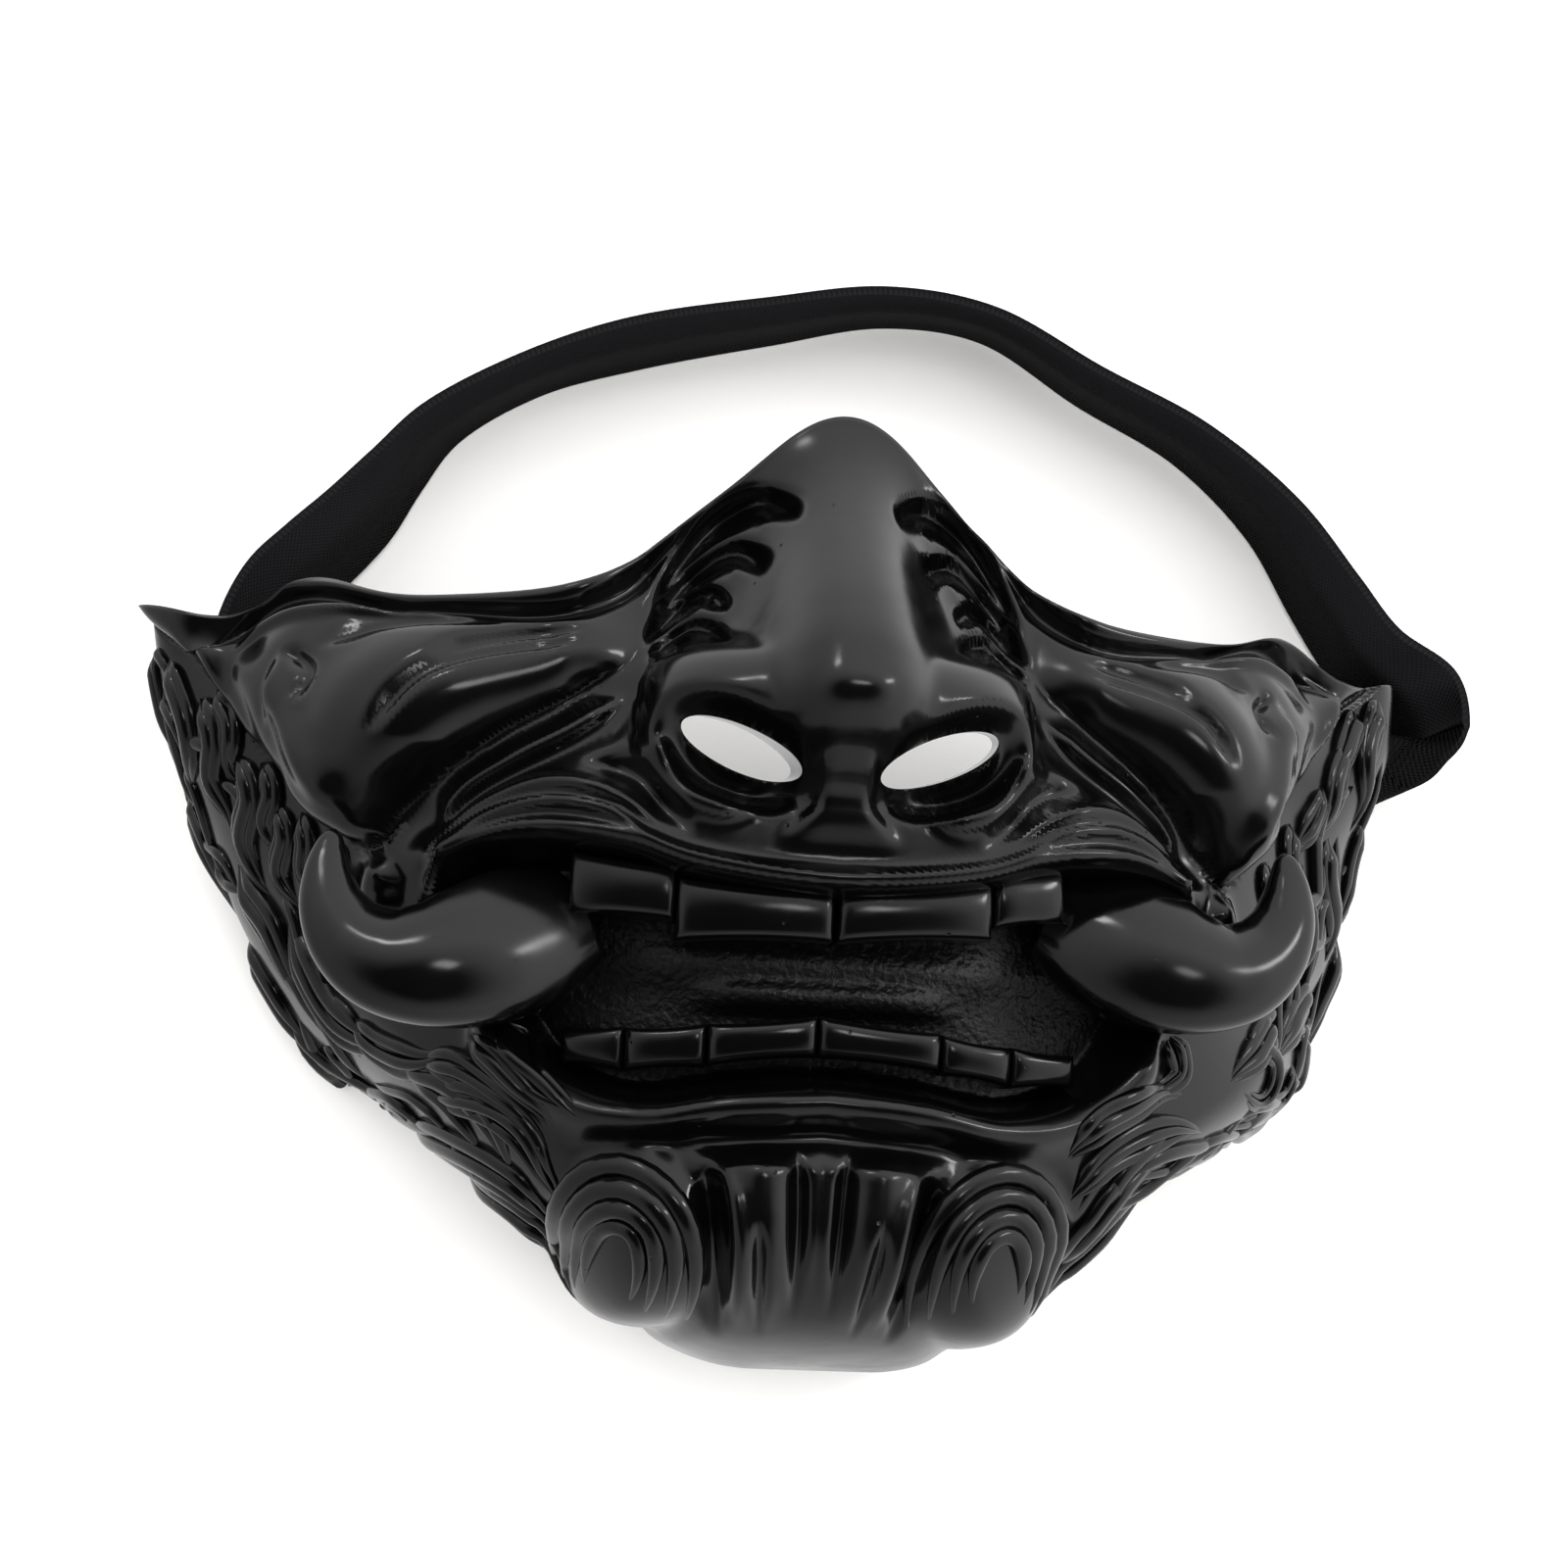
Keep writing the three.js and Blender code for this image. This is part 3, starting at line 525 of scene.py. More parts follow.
# broad mounds and hollows: place, half widths, rise, turn in degrees and how flat their tops are
swells = {
    "upperLip": ((0, -6), (62, 26), 5.0, 0, 1.6),
    "cheekFoot": ((40, 4), (18, 9), 2.0, 0, 1.0),
    "chin": ((0, -54), (34, 17), 4.0, 0, 1.5),
    "cheekDome": ((61, 16), (14, 9), 3.4, -28, 1.3),
    "cheekHollow": ((92, 26), (12, 6), -1.5, 30, 1.0),
    "mouthCorner": ((32, -19), (8, 5), -1.5, 0, 1.0),
}
whorl = {"x": 26.5, "y": -55.5, "squash": (0.86, 1.06), "reach": 14.5, "top": 5, "rise": 3.4, "groove": 0.8}
nostril = {
    "x": 13.9, "y": 12.8, "halfLong": 8.7, "halfShort": 3.0, "turn": 22, "sides": 72, "shift": -0.6,
    "low": 45, "high": 130, "level": 78, "leanIn": 0.08, "leanDown": 0.17,
}
socket = {"x": 15.8, "y": 11.6, "halfLong": 13.0, "halfShort": 7.0, "turn": 26, "depth": 6.5}

cheekOutline = [
    (28, 31), (30.5, 25), (35.8, 21.8), (40.7, 18.6), (48, 14.6), (53.6, 11), (58.5, 6.5), (61, 2.5),
    (63, -0.5), (66.5, -1.4), (70.5, 0.2), (78, 4.5), (87.5, 11.3), (97, 18.4), (107, 25), (116, 29.8),
    (131, 33.6), (150, 39), (170, 50), (100, 75), (40, 70), (28, 45),
]
mouthHalf = [
    (0, -6.3), (10, -5.7), (20, -4.2), (28.5, -1.8), (36, -0.8), (44, -0.8), (50, -2.2), (54, -5.5),
    (56.5, -10), (53, -18), (46, -26), (38, -32.5), (26, -35.6), (13, -33.8),
]
mouthOutline = mouthHalf + [(0, -32.6)] + [(-s, y) for s, y in mouthHalf[:0:-1]]

trough = ("trough", [(27, 24), (36, 16), (47, 10.5), (56, 4), (62, -3)], -5.0, 5, 4.5, 0.25, 0.25)
folds = [   # path, rise, half widths to its left and right, shares of it that fade in and out
    ("rimRoll", [(125, 36), (110, 36), (92, 38.5), (75, 37.5), (58, 34.5), (40, 36), (30, 42), (22, 52)],
     1.6, 2.2, 2.2, 0.15, 0.2),
    ("underRim", [(104.9, 28.5), (99.3, 30.8), (91, 34.7), (83.9, 36.2), (74.8, 34.6), (64.3, 31.5),
                  (57.5, 31.2), (42, 31.9), (33, 36), (26, 43.5), (20.5, 50.5)],
     -2.0, 1.3, 1.3, 0.15, 0.15),
    ("secondFold", [(96.1, 26), (90.2, 29), (80, 30.2), (71.8, 30), (58.7, 30.2), (44, 30.6)],
     1.5, 0.9, 1.6, 0.2, 0.3),
    ("valley", [(104, 28), (96.6, 22.8), (90.6, 18.2), (85.2, 13), (77, 6.4), (71, 2.8)],
     -2.6, 2.4, 2.4, 0.25, 0.3),
    ("blobRidge", [(83.8, 21.7), (78.7, 19.4), (73.5, 13.6), (69, 7.6), (64.5, 2.6)],
     2.2, 2.6, 2.8, 0.12, 0.2),
    ("hookGroove", [(80, 25.2), (75.9, 23.6), (73.6, 21.4), (76.2, 18.9)], -1.6, 0.9, 0.9, 0.3, 0.3),
    ("domeEdge", [(74, 24.4), (66, 26), (57, 27.4), (46, 28.8)], -1.3, 0.9, 2.2, 0.25, 0.3),
    ("cheekCrease", [(62, 13.3), (57.3, 17.6), (52.3, 20.6), (45.3, 24.2), (35.5, 28)],
     -1.6, 0.6, 1.3, 0.15, 0.25),
    ("cheekCreaseTwo", [(56.5, 19.6), (51.3, 23.3), (44, 27), (36, 29.6)], -1.5, 0.8, 1.3, 0.25, 0.25),
    ("smileLine", [(30, 20.8), (38, 15), (45.9, 10.6), (52, 6.5), (55.8, 0.5)], 2.2, 2.0, 1.0, 0.2, 0.15),
    ("lipFold", [(56.5, -4), (54.6, -0.4), (49.9, 4.2), (43, 7.3), (37, 7.4), (29.6, 5), (23.9, 0.8)],
     2.4, 1.6, 0.7, 0.12, 0.35),
    ("lipFoldTwo", [(55.5, -5), (52.7, -1.1), (47.4, 2.8), (40.1, 4.6), (32.1, 3.4), (26.6, 0.4), (21, -2.1)],
     2.0, 1.1, 0.6, 0.12, 0.35),
    ("lipRoll", [(57, -9), (54.5, -4.5), (50, -0.9), (44, 0.9), (36, 0.9), (28.5, -0.2), (20, -2.6),
                 (10, -4.1), (0, -4.7)],
     2.0, 1.0, 1.1, 0.12, 0.0),
    ("moustacheGroove", [(37, 10.6), (28, 8.4), (23.6, 3.8), (19.5, 0.2)], -2.6, 1.8, 1.8, 0.3, 0.35),
    ("nostrilRing", [(27.6, 17), (27.6, 12), (23.4, 6.6), (16.5, 4.0), (9.5, 4.6)], 2.6, 1.6, 2.4, 0.25, 0.3),
    ("wrinkleOne", [(7.0, 46.5), (8.6, 50.6), (13, 52.2), (18.5, 49), (23.5, 42.5), (28.5, 33)],
     -4.6, 1.0, 3.0, 0.12, 0.3),
    ("wrinkleTwo", [(12, 38.5), (12.8, 42.6), (16.6, 44), (21.5, 40.8), (26, 34.5), (29.3, 28.5)],
     -4.4, 0.9, 2.5, 0.12, 0.3),
    ("wrinkleThree", [(16.4, 33.4), (18.6, 36.8), (22.2, 36.6), (26, 32.2), (29.2, 27.4)],
     -3.6, 0.8, 2.0, 0.12, 0.3),
    ("wrinkleFour", [(16.4, 27), (18.4, 30.6), (21.6, 31.6), (25, 29.4), (28.6, 25.8)],
     -3.6, 0.8, 1.8, 0.12, 0.25),
    ("cornerBulb", [(62, -2), (64, -7), (60, -10)], 2.6, 3.0, 3.0, 0.3, 0.3),
]
mouthFolds = [
    ("lowerLip", [(0, -34.6), (13, -35.6), (26, -37.8), (37, -35.6), (45, -29), (50, -21)],
     3.6, 2.2, 3.2, 0.0, 0.15),
    ("underLip", [(0, -38.8), (14, -39.8), (28, -41)], -2.4, 1.8, 2.2, 0.0, 0.4),
    ("chinLobe", [(8.6, -41), (8.2, -50), (6.5, -64)], 3.0, 5.0, 5.4, 0.12, 0.45),
    ("chinEdge", [(13.4, -42.5), (11.6, -52), (9.2, -64)], 1.6, 1.4, 1.6, 0.25, 0.4),
    ("chinSide", [(15.6, -43), (13.9, -53), (11.6, -66)], -2.8, 1.8, 1.5, 0.2, 0.35),
    ("chinGroove", [(3.4, -41), (3.0, -50), (2.6, -62)], -2.2, 1.2, 1.2, 0.2, 0.45),
    ("chinCut", [(8.8, -49), (7.8, -56), (6.4, -65)], -1.7, 0.9, 0.9, 0.4, 0.45),
]


def addFold(height, s, y, row):
    _, path, rise, left, right, fadeIn, fadeOut = row
    line = curveThrough(path)
    reach = 2.6 * max(left, right)
    low, high = line.min(0) - reach, line.max(0) + reach
    near = (s > low[0]) & (s < high[0]) & (y > low[1]) & (y < high[1])
    gap, share = awayFrom(line, s[near], y[near])
    full = (ease(0, fadeIn, share) if fadeIn else 1.0) * (ease(0, fadeOut, 1 - share) if fadeOut else 1.0)
    wide = np.where(gap > 0, left, right) * (0.4 + 0.6 * full)
    height[near] += rise * full * bell(gap, wide)


def inEllipse(s, y, shape):
    # 0 at the ellipse's middle and 1 on its edge
    a = np.radians(shape["turn"])
    ds, dy = s - shape["x"], y - shape["y"]
    p, q = ds * np.cos(a) + dy * np.sin(a), dy * np.cos(a) - ds * np.sin(a)
    return np.hypot(p / shape["halfLong"], q / shape["halfShort"])


def noseRelief(s, y):
    ridge = readTable(y, noseRows, "rise") * bell(s, readTable(y, noseRows, "wide"), 2.8)
    share = np.clip(np.abs(s) / readTable(y, wingRows, "wide"), 0, 1)
    wing = np.clip(readTable(y, wingRows, "rise"), 0, None) * (1 - share**5) ** 0.5
    return softMax(ridge, wing, 2.0) - 1.0


def cheekRelief(s, y, onCheek):
    # a cushion with a steep edge, a roll along its outer end and a dome beside the nose
    height = 8.0 * (1 - np.exp(-np.clip(onCheek, 0, None) / 2.4)) - 3.0 * ease(0, 12, y - topEdge(s) + 12)
    height += 1.6 * bell(onCheek - 3.2, 2.2) * ease(60, 74, s)
    return height + (mound(s, y, *swells["cheekDome"]) + mound(s, y, *swells["cheekHollow"]))


def mouthRelief(s, y):
    # the mouth's floor with the tongue's band across it and a shorter, sharper band below
    height = -8.5 + 2.2 * bell(y + 16, 3.0) * bell(s, 30, 4) + 3.0 * bell(y + 20.4, 2.0, 3) * bell(s, 17, 6)
    return height + mound(s, y, *swells["mouthCorner"])


def faceRelief(sFull, y):
    s = np.abs(sFull)
    height = mound(s, y, *swells["upperLip"])
    height += mound(s, y, *swells["cheekFoot"])
    height += mound(s, y, *swells["chin"])
    addFold(height, s, y, trough)
    height = softMax(height, noseRelief(s, y), 2.0)
    height -= socket["depth"] * ease(1.0, 0.5, inEllipse(s, y, socket))
    height += 2.6 * bell(s, 3.9 + 3.4 * ease(6, 0, y), 7) * ease(-1.5, 4, y) * ease(13, 9.5, y)
    onCheek = depthInside(cheekOutline, s, y)
    inner = ease(23, 40, s)
    cheek = cheekRelief(s, y, onCheek) * inner
    height = np.where(onCheek > 0, softMax(height * (1 - inner), cheek, 1.0), height)
    for row in folds:
        addFold(height, s, y, row)
    inMouth = depthInside(mouthOutline, sFull, y)
    sunk = ease(-0.3, 2.6, inMouth)
    height = height * (1 - sunk) + mouthRelief(s, y) * sunk
    for row in mouthFolds:
        addFold(height, s, y, row)
    return height, inMouth


def evened(s):
    # the casting is wider on the wearer's right: features lie at the same places once this is undone
    far = ease(30, 80, np.abs(s))
    return s * (1 + np.where(s > 0, 0.07, -0.07) * far)


def relief(s, y):
    # height above the bowl, flattened near the ears, with the whorls' mounds, and depth inside the mouth
    height, inMouth = faceRelief(evened(s), y)
    reach = sideEdge(np.clip((36 - y) / 67, 0, 1)) * np.pi / 2
    height = np.where(height > 0, height * (1 - 0.85 * ease(0.84, 0.96, np.abs(s) / reach)), height)
    wide, tall = whorl["squash"]
    far = np.hypot((np.abs(s) - whorl["x"]) / wide, (y - whorl["y"]) / tall)
    reach = whorl["reach"]
    height += whorl["rise"] * ease(reach, whorl["top"], far) - whorl["groove"] * bell(far - reach, 2)
    return height, inMouth


# the shell: a front skin with the relief, a smoother back skin behind it and a rim that joins them
def spread(values, join):
    # joins each cell with its neighbours within reach, down the face and then across it
    for axis, reach in enumerate(mask["backReach"]):
        pad = [(0, 0), (0, 0)]
        pad[axis] = (reach, reach)
        wide = np.pad(values, pad, mode="edge")
        size = values.shape[axis]
        values = join([np.take(wide, range(k, k + size), axis) for k in range(2 * reach + 1)], axis=0)
    return values


def buildShell():
    # the cells are finer in the middle of the face and towards the rim under the chin
    t = np.linspace(-1, 1, mask["cellsAcross"] + 1)
    v = np.linspace(0, 1, mask["cellsDown"] + 1)
    drops = np.where(v < 0.7, v / 0.7 * 0.8, 0.8 + 0.2 * np.sin((v - 0.7) / 0.3 * np.pi / 2))
    u, drop = np.meshgrid(t * (0.64 + 0.36 * t * t), drops)
    ground, s = bowlAt(u, drop)
    way = reliefWay(u, drop, s, ground[..., 1])
    out, inMouth = relief(s, ground[..., 1])
    back = spread(spread(out, np.min) - mask["wall"], np.mean)
    rim = np.zeros(out.shape, bool)
    rim[0] = rim[-1] = True
    rim[:, 0] = rim[:, -1] = True
    back = np.where(rim, np.minimum(back, out - mask["wall"]), back)
    front = ground + way * out[..., None]
    inside = (ground + way * back[..., None])[::2, ::2]
    points = np.vstack([front.reshape(-1, 3), inside.reshape(-1, 3)])
    points[:, 2] = np.maximum(points[:, 2], 0)
    f = np.arange(out.size).reshape(out.shape)
    b = out.size + np.arange(inside[..., 0].size).reshape(inside.shape[:2])
    quads = [np.stack([f[:-1, :-1], f[1:, :-1], f[1:, 1:], f[:-1, 1:]], -1).reshape(-1, 4),
             np.stack([b[:-1, :-1], b[:-1, 1:], b[1:, 1:], b[1:, :-1]], -1).reshape(-1, 4)]
    faces = np.vstack(quads).tolist()
    edges = ((f[0, ::-1], b[0, ::-1]), (f[-1], b[-1]), (f[:, 0], b[:, 0]), (f[::-1, -1], b[::-1, -1]))
    for outer, inner in edges:
        for k in range(len(inner) - 1):
            p, q, r = outer[2 * k:2 * k + 3]
            faces += [(p, inner[k], q), (q, inner[k], inner[k + 1]), (q, inner[k + 1], r)]
    piece = makeMesh("resin_face_shell", placed(points), faces, resin)
    raw = ease(1.0, 5.0, inMouth) * resinLook["mouthRaw"]
    marks = np.concatenate([raw.ravel(), np.full(inside[..., 0].size, resinLook["backRaw"])])
    rawCast = piece.data.attributes.new("rawCast", "FLOAT", "POINT")
    rawCast.data.foreach_set("value", marks.astype(np.float32))
    return piece


def cutNostrils(piece):
    # both holes go straight through from front to back
    cutters = []
    sides = nostril["sides"]
    for side in (-1, 1):
        turn = np.radians(side * nostril["turn"])
        angle = np.linspace(0, 2 * np.pi, sides, endpoint=False)
        p, q = nostril["halfLong"] * np.cos(angle), nostril["halfShort"] * np.sin(angle)
        x = side * nostril["x"] + nostril["shift"] + p * np.cos(turn) - q * np.sin(turn)
        y = nostril["y"] + p * np.sin(turn) + q * np.cos(turn)
        points = []
        for z in (nostril["low"], nostril["high"]):
            leanX = side * nostril["leanIn"] * (z - nostril["level"])
            leanY = nostril["leanDown"] * (z - nostril["level"])
            points += [(a - leanX, b - leanY, z) for a, b in zip(x, y)]
        faces = [(k, (k + 1) % sides, sides + (k + 1) % sides, sides + k) for k in range(sides)]
        faces += [tuple(range(sides))[::-1], tuple(range(sides, 2 * sides))]
        cutters.append(makeMesh("nostril_cutter", placed(points), faces, resin, smooth=False))
    for cutter in cutters:
        cut = piece.modifiers.new("nostril", "BOOLEAN")
        cut.operation = "DIFFERENCE"
        cut.solver = "MANIFOLD"
        cut.object = cutter
    applyModifiers(piece)
    for cutter in cutters:
        bpy.data.objects.remove(cutter)


shellPiece = buildShell()
print("shell is shaped,", len(shellPiece.data.polygons), "faces")
cutNostrils(shellPiece)
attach(shellPiece, "root")
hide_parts("face_shell")
print("nostrils are cut")

# beard: carved locks that lie on the cheeks and jaw, and the two curls beside the chin
beard = {
    "sides": 12, "flatness": 0.85, "steps": 26, "strandsEach": 3, "seed": 7, "underLocks": 30,
}
curls = {
    "centres": {-1: (27.5, -57), 1: (25.5, -56)}, "radii": (15, 11.6, 8.4, 5.6), "points": 14,
    "arc": (-40, 240), "startShare": 0.66, "squash": (0.8, 1.04), "lean": -18,
}
# each lock from its root to its tip: places across and up the face, and the width of its middle
locks = {
    -1: (
        ([(153, 33), (150, 26), (149, 19), (146, 12)], 5),
        ([(137, 30), (128, 23), (124, 17), (130, 11), (127, 5)], 6),
        ([(121, 23), (114, 17), (116, 11), (112, 5), (113, -1)], 6),
        ([(114, 24.5), (107.5, 18), (109, 12.5), (104, 8.5)], 5),
        ([(100, 13), (95.5, 8), (98, 3), (93, -3)], 5), ([(89, 5.5), (86, 1), (87, -4), (81, -9)], 5),
        ([(79, 1), (77, -5), (75, -11)], 4), ([(108, 15), (102, 8), (106, 2), (104, -4), (98, -9)], 6),
        ([(97, 7), (92, 2), (95, -4), (88, -11)], 5),
        ([(144, 13), (141, 7), (133, 2), (131, -5), (132, -12)], 6),
        ([(113, 0), (109, -6), (102, -12), (99, -19), (94, -27)], 7),
        ([(131, -11), (124, -17), (118, -22), (112, -27), (100, -31)], 7),
        ([(96, -8), (92, -16), (85, -23), (75, -28), (64, -31)], 7),
        ([(124, -19), (112, -28), (98, -33), (84, -36), (68, -39), (56, -45)], 7),
        ([(80, -24), (70, -29), (60, -31), (51, -28)], 5),
        ([(63, -31), (53, -32), (45, -36), (40, -41), (37, -47)], 5),
        ([(62, -35), (51, -36), (43, -40), (38, -47), (33, -54)], 5),
        ([(72, -40), (56, -43), (45, -47), (38, -53), (30, -60)], 6),
        ([(52, -26), (45, -31), (40, -36), (36, -42)], 4),
        ([(47, -25), (42, -31), (36, -36), (32, -39)], 4),
        ([(57, -47), (45, -52), (36, -58), (27, -65)], 5),
    ),
    1: (
        ([(136, 35), (126, 30), (120, 24), (124, 17), (118, 10)], 6),
        ([(122, 32), (112, 26), (106, 19), (108, 13)], 6), ([(103, 19), (98, 12), (90, 6)], 5),
        ([(112, 26), (106, 20), (105, 14), (99, 9)], 5), ([(92, 12), (88, 6), (89, 1), (84, -5)], 5),
        ([(80, 5), (77, 0), (78, -6), (74, -11)], 5), ([(134, 18), (130, 10), (126, 3), (116, -4)], 6),
        ([(109, 12), (105, 4), (109, -4), (106, -11)], 6),
        ([(122, -2), (120, -11), (114, -19), (106, -27)], 7),
        ([(101, -12), (90, -17), (82, -22), (75, -27)], 6), ([(80, -19), (68, -25), (60, -31)], 5),
        ([(50, -22), (52, -28), (46, -31)], 4), ([(62, -36), (80, -35), (96, -32), (106, -25)], 5),
        ([(66, -22), (75, -25), (71, -31), (62, -29)], 4),
        ([(90, -24), (84, -30), (76, -31), (72, -28)], 4), ([(96, -18), (99, -26), (90, -31)], 4),
        ([(35, -42), (40, -35), (48, -31), (56, -32)], 5),
        ([(36, -48), (43, -40), (52, -36), (62, -36)], 5),
        ([(38, -60), (42, -50), (47, -43), (56, -38)], 5),
        ([(33, -64), (40, -58), (48, -50), (58, -43)], 6), ([(92, 3), (93, -6), (86, -14)], 5),
    ),
}
# finer locks fill the band between these two lines
lockInner = [
    (146, 36), (126, 27), (110, 17), (98, 7), (90, -3), (84, -14), (73, -25), (60, -31), (46, -38), (40, -50),
]
lockOuter = [
    (158, 33), (154, 20), (146, 8), (138, -4), (130, -14), (122, -24), (104, -33), (84, -38), (62, -46),
    (42, -60),
]


def strandAlong(path, girth, lift, fadeIn, fadeOut, aside=0.0, weave=0.0):
    # a tapered strand: places across and up the face, lift above the relief and half width
    share = np.linspace(0, 1, beard["steps"])
    line = alongCurve(path, share)
    way = np.gradient(line, axis=0)
    way /= np.linalg.norm(way, axis=1, keepdims=True)
    body = 0.1 + 0.9 * ease(0, fadeIn, share) * ease(0, fadeOut, 1 - share)
    off = aside * body + weave * np.sin(share * 9)
    return np.stack([line[:, 0] - way[:, 1] * off, line[:, 1] + way[:, 0] * off,
                     lift * body - 0.6 * (1 - body), girth * body], 1)


def lockStrands(random, side, rows):
    # the main locks: a few strands side by side, the middle one highest
    strands = []
    for path, width in rows:
        path = [(side * s, y) for s, y in path]
        for k in range(beard["strandsEach"]):
            place = k - (beard["strandsEach"] - 1) / 2
            girth, weave = width * random.uniform(0.2, 0.26), random.uniform(-0.4, 0.4)
            lift, aside = 0.9 - 0.6 * abs(place), place * width * 0.32
            strands.append(strandAlong(path, girth, lift, 0.25, 0.5, aside, weave))
    return strands


def underStrands(random, side):
    # finer locks at random places below them
    inner, outer = curveThrough(lockInner, 120), curveThrough(lockOuter, 120)
    shrink = 1 if side < 0 else 0.9
    strands = []
    for _ in range(beard["underLocks"]):
        start = random.uniform(0, 0.85)
        shares = np.linspace(start, min(1, start + random.uniform(0.14, 0.26)), 8)
        wander = random.uniform(0.05, 0.95) + 0.1 * np.sin(shares * 30 + random.uniform(0, 6.3))
        a, b = alongCurve(inner, shares), alongCurve(outer, shares)
        path = (a + (b - a) * wander[:, None]) * (side * shrink, 1)
        strands.append(strandAlong(path, random.uniform(1.0, 1.6), 0.1, 0.3, 0.5))
    return strands


def beardStrands():
    random = np.random.default_rng(beard["seed"])
    strands = []
    for side, rows in locks.items():
        strands += lockStrands(random, side, rows)
        strands += underStrands(random, side)
    return strands


def curlStrands():
    # nested arcs that stand for the whorls beside the chin
    turn = np.radians(np.linspace(*curls["arc"], curls["points"]))
    grow = np.linspace(curls["startShare"], 1, curls["points"])
    lean = np.radians(curls["lean"])
    wide, tall = curls["squash"]
    strands = []
    for side, (s0, y0) in curls["centres"].items():
        for radius in curls["radii"]:
            p, q = wide * (radius * grow) * np.cos(turn), tall * (radius * grow) * np.sin(turn)
            s, y = p * np.cos(lean) - q * np.sin(lean), p * np.sin(lean) + q * np.cos(lean)
            path = np.stack([side * (s0 + s), y0 + y], 1)
            strands.append(strandAlong(path, 1.0 + 0.05 * radius, 0.9, 0.3, 0.3))
    return strands


def taperedSweep():
    # sweeps a flattened round section along every line, as wide as the line says and flat to the face
    tree = bpy.data.node_groups.new("taperedSweep", "GeometryNodeTree")
    tree.interface.new_socket("Geometry", in_out="INPUT", socket_type="NodeSocketGeometry")
    for name, kind, value in (("Sides", "NodeSocketInt", 12), ("Flatness", "NodeSocketFloat", 1.0),
                              ("Material", "NodeSocketMaterial", None)):
        socket = tree.interface.new_socket(name, in_out="INPUT", socket_type=kind)
        if value is not None:
            socket.default_value = value
    tree.interface.new_socket("Geometry", in_out="OUTPUT", socket_type="NodeSocketGeometry")
    given = addNode(tree, "NodeGroupInput").outputs
    lines = addNode(tree, "GeometryNodeMeshToCurve", {"Mesh": given["Geometry"]})
    outward = addNode(
        tree, "GeometryNodeInputNamedAttribute", {"Name": "outward"}, data_type="FLOAT_VECTOR")
    girth = addNode(tree, "GeometryNodeInputNamedAttribute", {"Name": "girth"}, data_type="FLOAT")
    faced = addNode(tree, "GeometryNodeSetCurveNormal", {
        "Curve": lines.outputs["Curve"], "Normal": outward.outputs["Attribute"]}, mode="FREE")
    ring = addNode(tree, "GeometryNodeCurvePrimitiveCircle", {"Resolution": given["Sides"], "Radius": 1.0})
    squash = addNode(tree, "ShaderNodeCombineXYZ", {"X": given["Flatness"], "Y": 1.0, "Z": 1.0})
    section = addNode(tree, "GeometryNodeTransform", {
        "Geometry": ring.outputs["Curve"], "Scale": squash.outputs["Vector"]})
    swept = addNode(tree, "GeometryNodeCurveToMesh", {
        "Curve": faced.outputs["Curve"], "Profile Curve": section.outputs["Geometry"],
        "Scale": girth.outputs["Attribute"], "Fill Caps": True})
    soft = addNode(tree, "GeometryNodeSetShadeSmooth", {"Geometry": swept.outputs["Mesh"]})
    real = addNode(tree, "GeometryNodeRealizeInstances", {"Geometry": soft.outputs["Geometry"]})
    coated = addNode(tree, "GeometryNodeSetMaterial", {
        "Geometry": real.outputs["Geometry"], "Material": given["Material"]})
    addNode(tree, "NodeGroupOutput", {"Geometry": coated.outputs["Geometry"]})
    return tree


def buildLocks(strands):
    s, y, lift, girth = np.vstack(strands).T
    out = relief(s, y)[0] + lift
    points = onFace(s, y, out)
    outward = onFace(s, y, out + 1) - points
    outward /= np.linalg.norm(outward, axis=1, keepdims=True)
    points[:, 2] = np.maximum(points[:, 2], girth + 0.3)
    edges = [(i, i + 1) for i in range(len(points) - 1) if (i + 1) % beard["steps"]]
    lines = bpy.data.meshes.new("resin_beard_locks")
    lines.from_pydata([tuple(p) for p in placed(points)], edges, [])
    for name, kind, key, values in (("girth", "FLOAT", "value", girth * mm),
                                    ("outward", "FLOAT_VECTOR", "vector", outward)):
        attribute = lines.attributes.new(name, kind, "POINT")
        attribute.data.foreach_set(key, values.astype(np.float32).ravel())
    piece = bpy.data.objects.new("resin_beard_locks", lines)
    bpy.context.scene.collection.objects.link(piece)
    tree = taperedSweep()
    sweep = piece.modifiers.new("sweep", "NODES")
    sweep.node_group = tree
    sockets = {item.name: item.identifier for item in tree.interface.items_tree if item.in_out == "INPUT"}
    sweep[sockets["Sides"]] = beard["sides"]
    sweep[sockets["Flatness"]] = beard["flatness"]
    sweep[sockets["Material"]] = resin
    applyModifiers(piece)
    return piece


locksPiece = buildLocks(beardStrands() + curlStrands())
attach(locksPiece, "root")
print("beard is laid,", len(locksPiece.data.polygons), "faces")

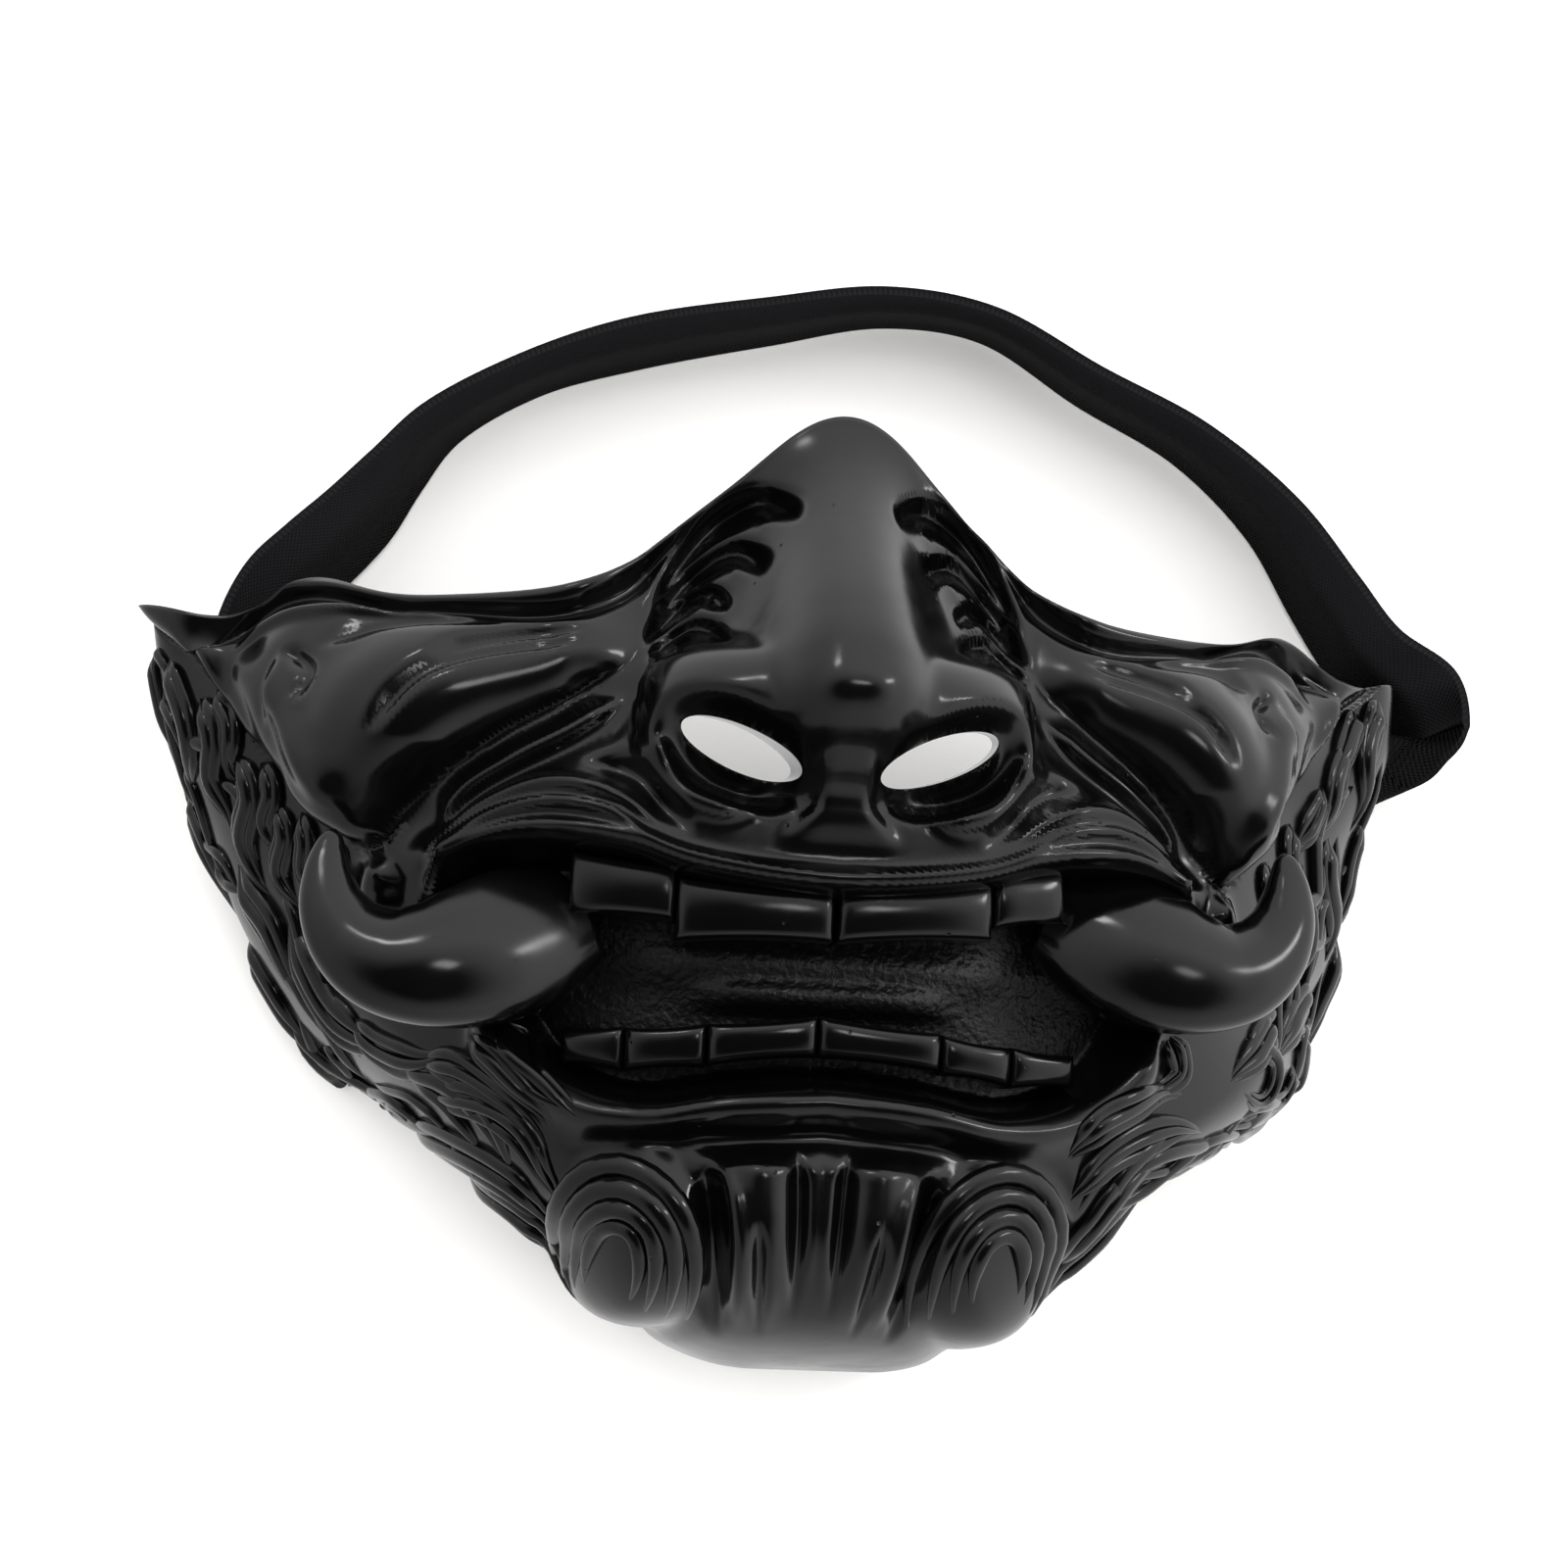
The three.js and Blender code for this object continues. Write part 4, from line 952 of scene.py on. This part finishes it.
# teeth: soft-edged blocks that stand in the mouth
teeth = {"root": -8.8, "cellsAcross": 26, "cellsDown": 18, "corner": 1.1}
upperTeeth = [   # ends across the face, upper and lower edge at both ends, how far the front stands out
    {"from": -37.2, "to": -22.0, "top": (-1.6, -3.6), "bottom": (-10.4, -10.8), "front": 2.4},
    {"from": -21.8, "to": -0.1, "top": (-5.0, -6.2), "bottom": (-13.6, -13.0), "front": 3.0},
    {"from": 0.5, "to": 22.2, "top": (-6.2, -3.6), "bottom": (-13.0, -11.4), "front": 3.0},
    {"from": 22.5, "to": 33.4, "top": (-2.2, -0.7), "bottom": (-9.8, -8.4), "front": 2.4},
]
lowerTeeth = [
    {"from": -37.6, "to": -28.2, "top": (-26.0, -25.4), "bottom": (-31.0, -31.6), "front": 0.2},
    {"from": -28.0, "to": -16.6, "top": (-25.6, -24.6), "bottom": (-31.6, -30.6), "front": 0.8},
    {"from": -16.4, "to": -1.4, "top": (-24.6, -22.9), "bottom": (-30.4, -28.6), "front": 1.4},
    {"from": -1.2, "to": 15.9, "top": (-22.9, -24.4), "bottom": (-28.6, -29.8), "front": 1.4},
    {"from": 16.1, "to": 26.4, "top": (-24.6, -25.9), "bottom": (-30.2, -31.4), "front": 0.8},
    {"from": 26.6, "to": 36.6, "top": (-25.8, -26.6), "bottom": (-31.6, -31.2), "front": 0.2},
]


def buildTeeth(name, rows):
    points, faces = [], []
    across, down, corner = teeth["cellsAcross"], teeth["cellsDown"], teeth["corner"]
    start = 0
    for row in rows:
        # the cells crowd towards the tooth's edges
        a, b = np.meshgrid(*(np.sin(np.linspace(-1, 1, cells + 1) * np.pi / 2) for cells in (across, down)))
        wide = (row["to"] - row["from"]) / 2
        s = row["from"] + wide * (1 + a)
        top, bottom = (
            row[edge][0] + (row[edge][1] - row[edge][0]) * (1 + a) / 2 for edge in ("top", "bottom"))
        tall = (top - bottom) / 2
        y = (top + bottom) / 2 - b * tall + 0.35 * (1 - a * a) * b
        inset = np.minimum(wide * (1 - np.abs(a)), tall * (1 - np.abs(b)))
        near = np.clip(1 - inset / corner, 0, 1)
        crown = row["front"] - 0.7 * b**2 - 0.5 * a**4 - corner * (1 - np.sqrt(1 - near**2))
        out = np.where(inset < 1e-6, teeth["root"], crown)
        front = onFace(s, y, out)
        base = onFace(s, y, np.full(s.shape, teeth["root"] - 0.4))
        points += [front.reshape(-1, 3), base.reshape(-1, 3)]
        f = start + np.arange(s.size).reshape(s.shape)
        g = f + s.size
        start += 2 * s.size
        faces.append(np.stack([f[:-1, :-1], f[1:, :-1], f[1:, 1:], f[:-1, 1:]], -1).reshape(-1, 4))
        faces.append(np.stack([g[:-1, :-1], g[:-1, 1:], g[1:, 1:], g[1:, :-1]], -1).reshape(-1, 4))
        ring = np.concatenate([f[0, ::-1], f[1:, 0], f[-1, 1:], f[-2:0:-1, -1]])
        after = np.roll(ring, -1)
        faces.append(np.stack([ring, ring + s.size, after + s.size, after], -1))
    return makeMesh(name, placed(np.vstack(points)), np.vstack(faces), resin)


for node, rows in (("upper_teeth", upperTeeth), ("lower_teeth", lowerTeeth)):
    piece = buildTeeth("resin_" + node, rows)
    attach(piece, "root")
    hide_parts(node)
print("teeth are set")

# tusks: from the root in the mouth, out round the lip's corner and up to the tip
tusk = {"sides": 36, "steps": 90, "fullness": 0.74}
tuskRows = [
    {"x": 35, "y": -8.5, "z": 65, "wide": 7.8, "thick": 6},
    {"x": 41, "y": -11.6, "z": 68.5, "wide": 10.2, "thick": 7},
    {"x": 47.5, "y": -14.6, "z": 71.2, "wide": 10, "thick": 7.6},
    {"x": 53.5, "y": -16.2, "z": 72.6, "wide": 8.6, "thick": 7.4},
    {"x": 59, "y": -15.8, "z": 72.6, "wide": 7.3, "thick": 6.6},
    {"x": 63.5, "y": -13, "z": 71.8, "wide": 6, "thick": 5.8},
    {"x": 66.3, "y": -9, "z": 71.2, "wide": 4.6, "thick": 4.8},
    {"x": 67.4, "y": -4.8, "z": 70.6, "wide": 3.4, "thick": 3.7},
    {"x": 67.5, "y": -1.2, "z": 70.3, "wide": 2.3, "thick": 2.5},
    {"x": 67.2, "y": 1.0, "z": 70.2, "wide": 1.3, "thick": 1.4},
    {"x": 67, "y": 1.8, "z": 70.1, "wide": 0.25, "thick": 0.25},
]
tuskShift = {-1: (1.03, -2.2), 1: (0.97, 1.8)}    # the casting's own unevenness: stretch and lift


def buildTusk(name, side):
    table = np.array([[row[key] for key in ("x", "y", "z", "wide", "thick")] for row in tuskRows])
    stretch, raised = tuskShift[side]
    line = centripetal(table, tusk["steps"] // (len(table) - 1))
    centre = line[:, :3] * (side * stretch, 1, 1) + (0, raised, 0)
    along = np.gradient(centre, axis=0)
    along /= np.linalg.norm(along, axis=1, keepdims=True)
    across = np.cross(along, (0, 0, 1.0))
    across /= np.linalg.norm(across, axis=1, keepdims=True)
    up = np.cross(across, along)
    angle = np.linspace(0, 2 * np.pi, tusk["sides"], endpoint=False)
    share = np.linspace(0, 1, len(line))[:, None]
    asideOf, above = np.cos(angle), -np.sin(angle)
    # the upper face is flatter near the root
    flat = np.clip(-side * asideOf, 0, 1) * (1 - ease(0.45, 0.8, share))
    a = np.sign(asideOf) * np.abs(asideOf) ** tusk["fullness"] * line[:, 3:4]
    b = np.sign(above) * np.abs(above) ** tusk["fullness"] * line[:, 4:5] * (1 - 0.5 * flat * (above > 0))
    points = centre[:, None] + across[:, None] * a[..., None] + up[:, None] * b[..., None]
    count, sides = points.shape[:2]
    return makeMesh(name, placed(points.reshape(-1, 3)), tubeFaces(count, sides), resin)


for node, side in (("tusk_right", -1), ("tusk_left", 1)):
    piece = buildTusk("resin_" + node, side)
    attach(piece, "root")
    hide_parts(node)
print("tusks are set")
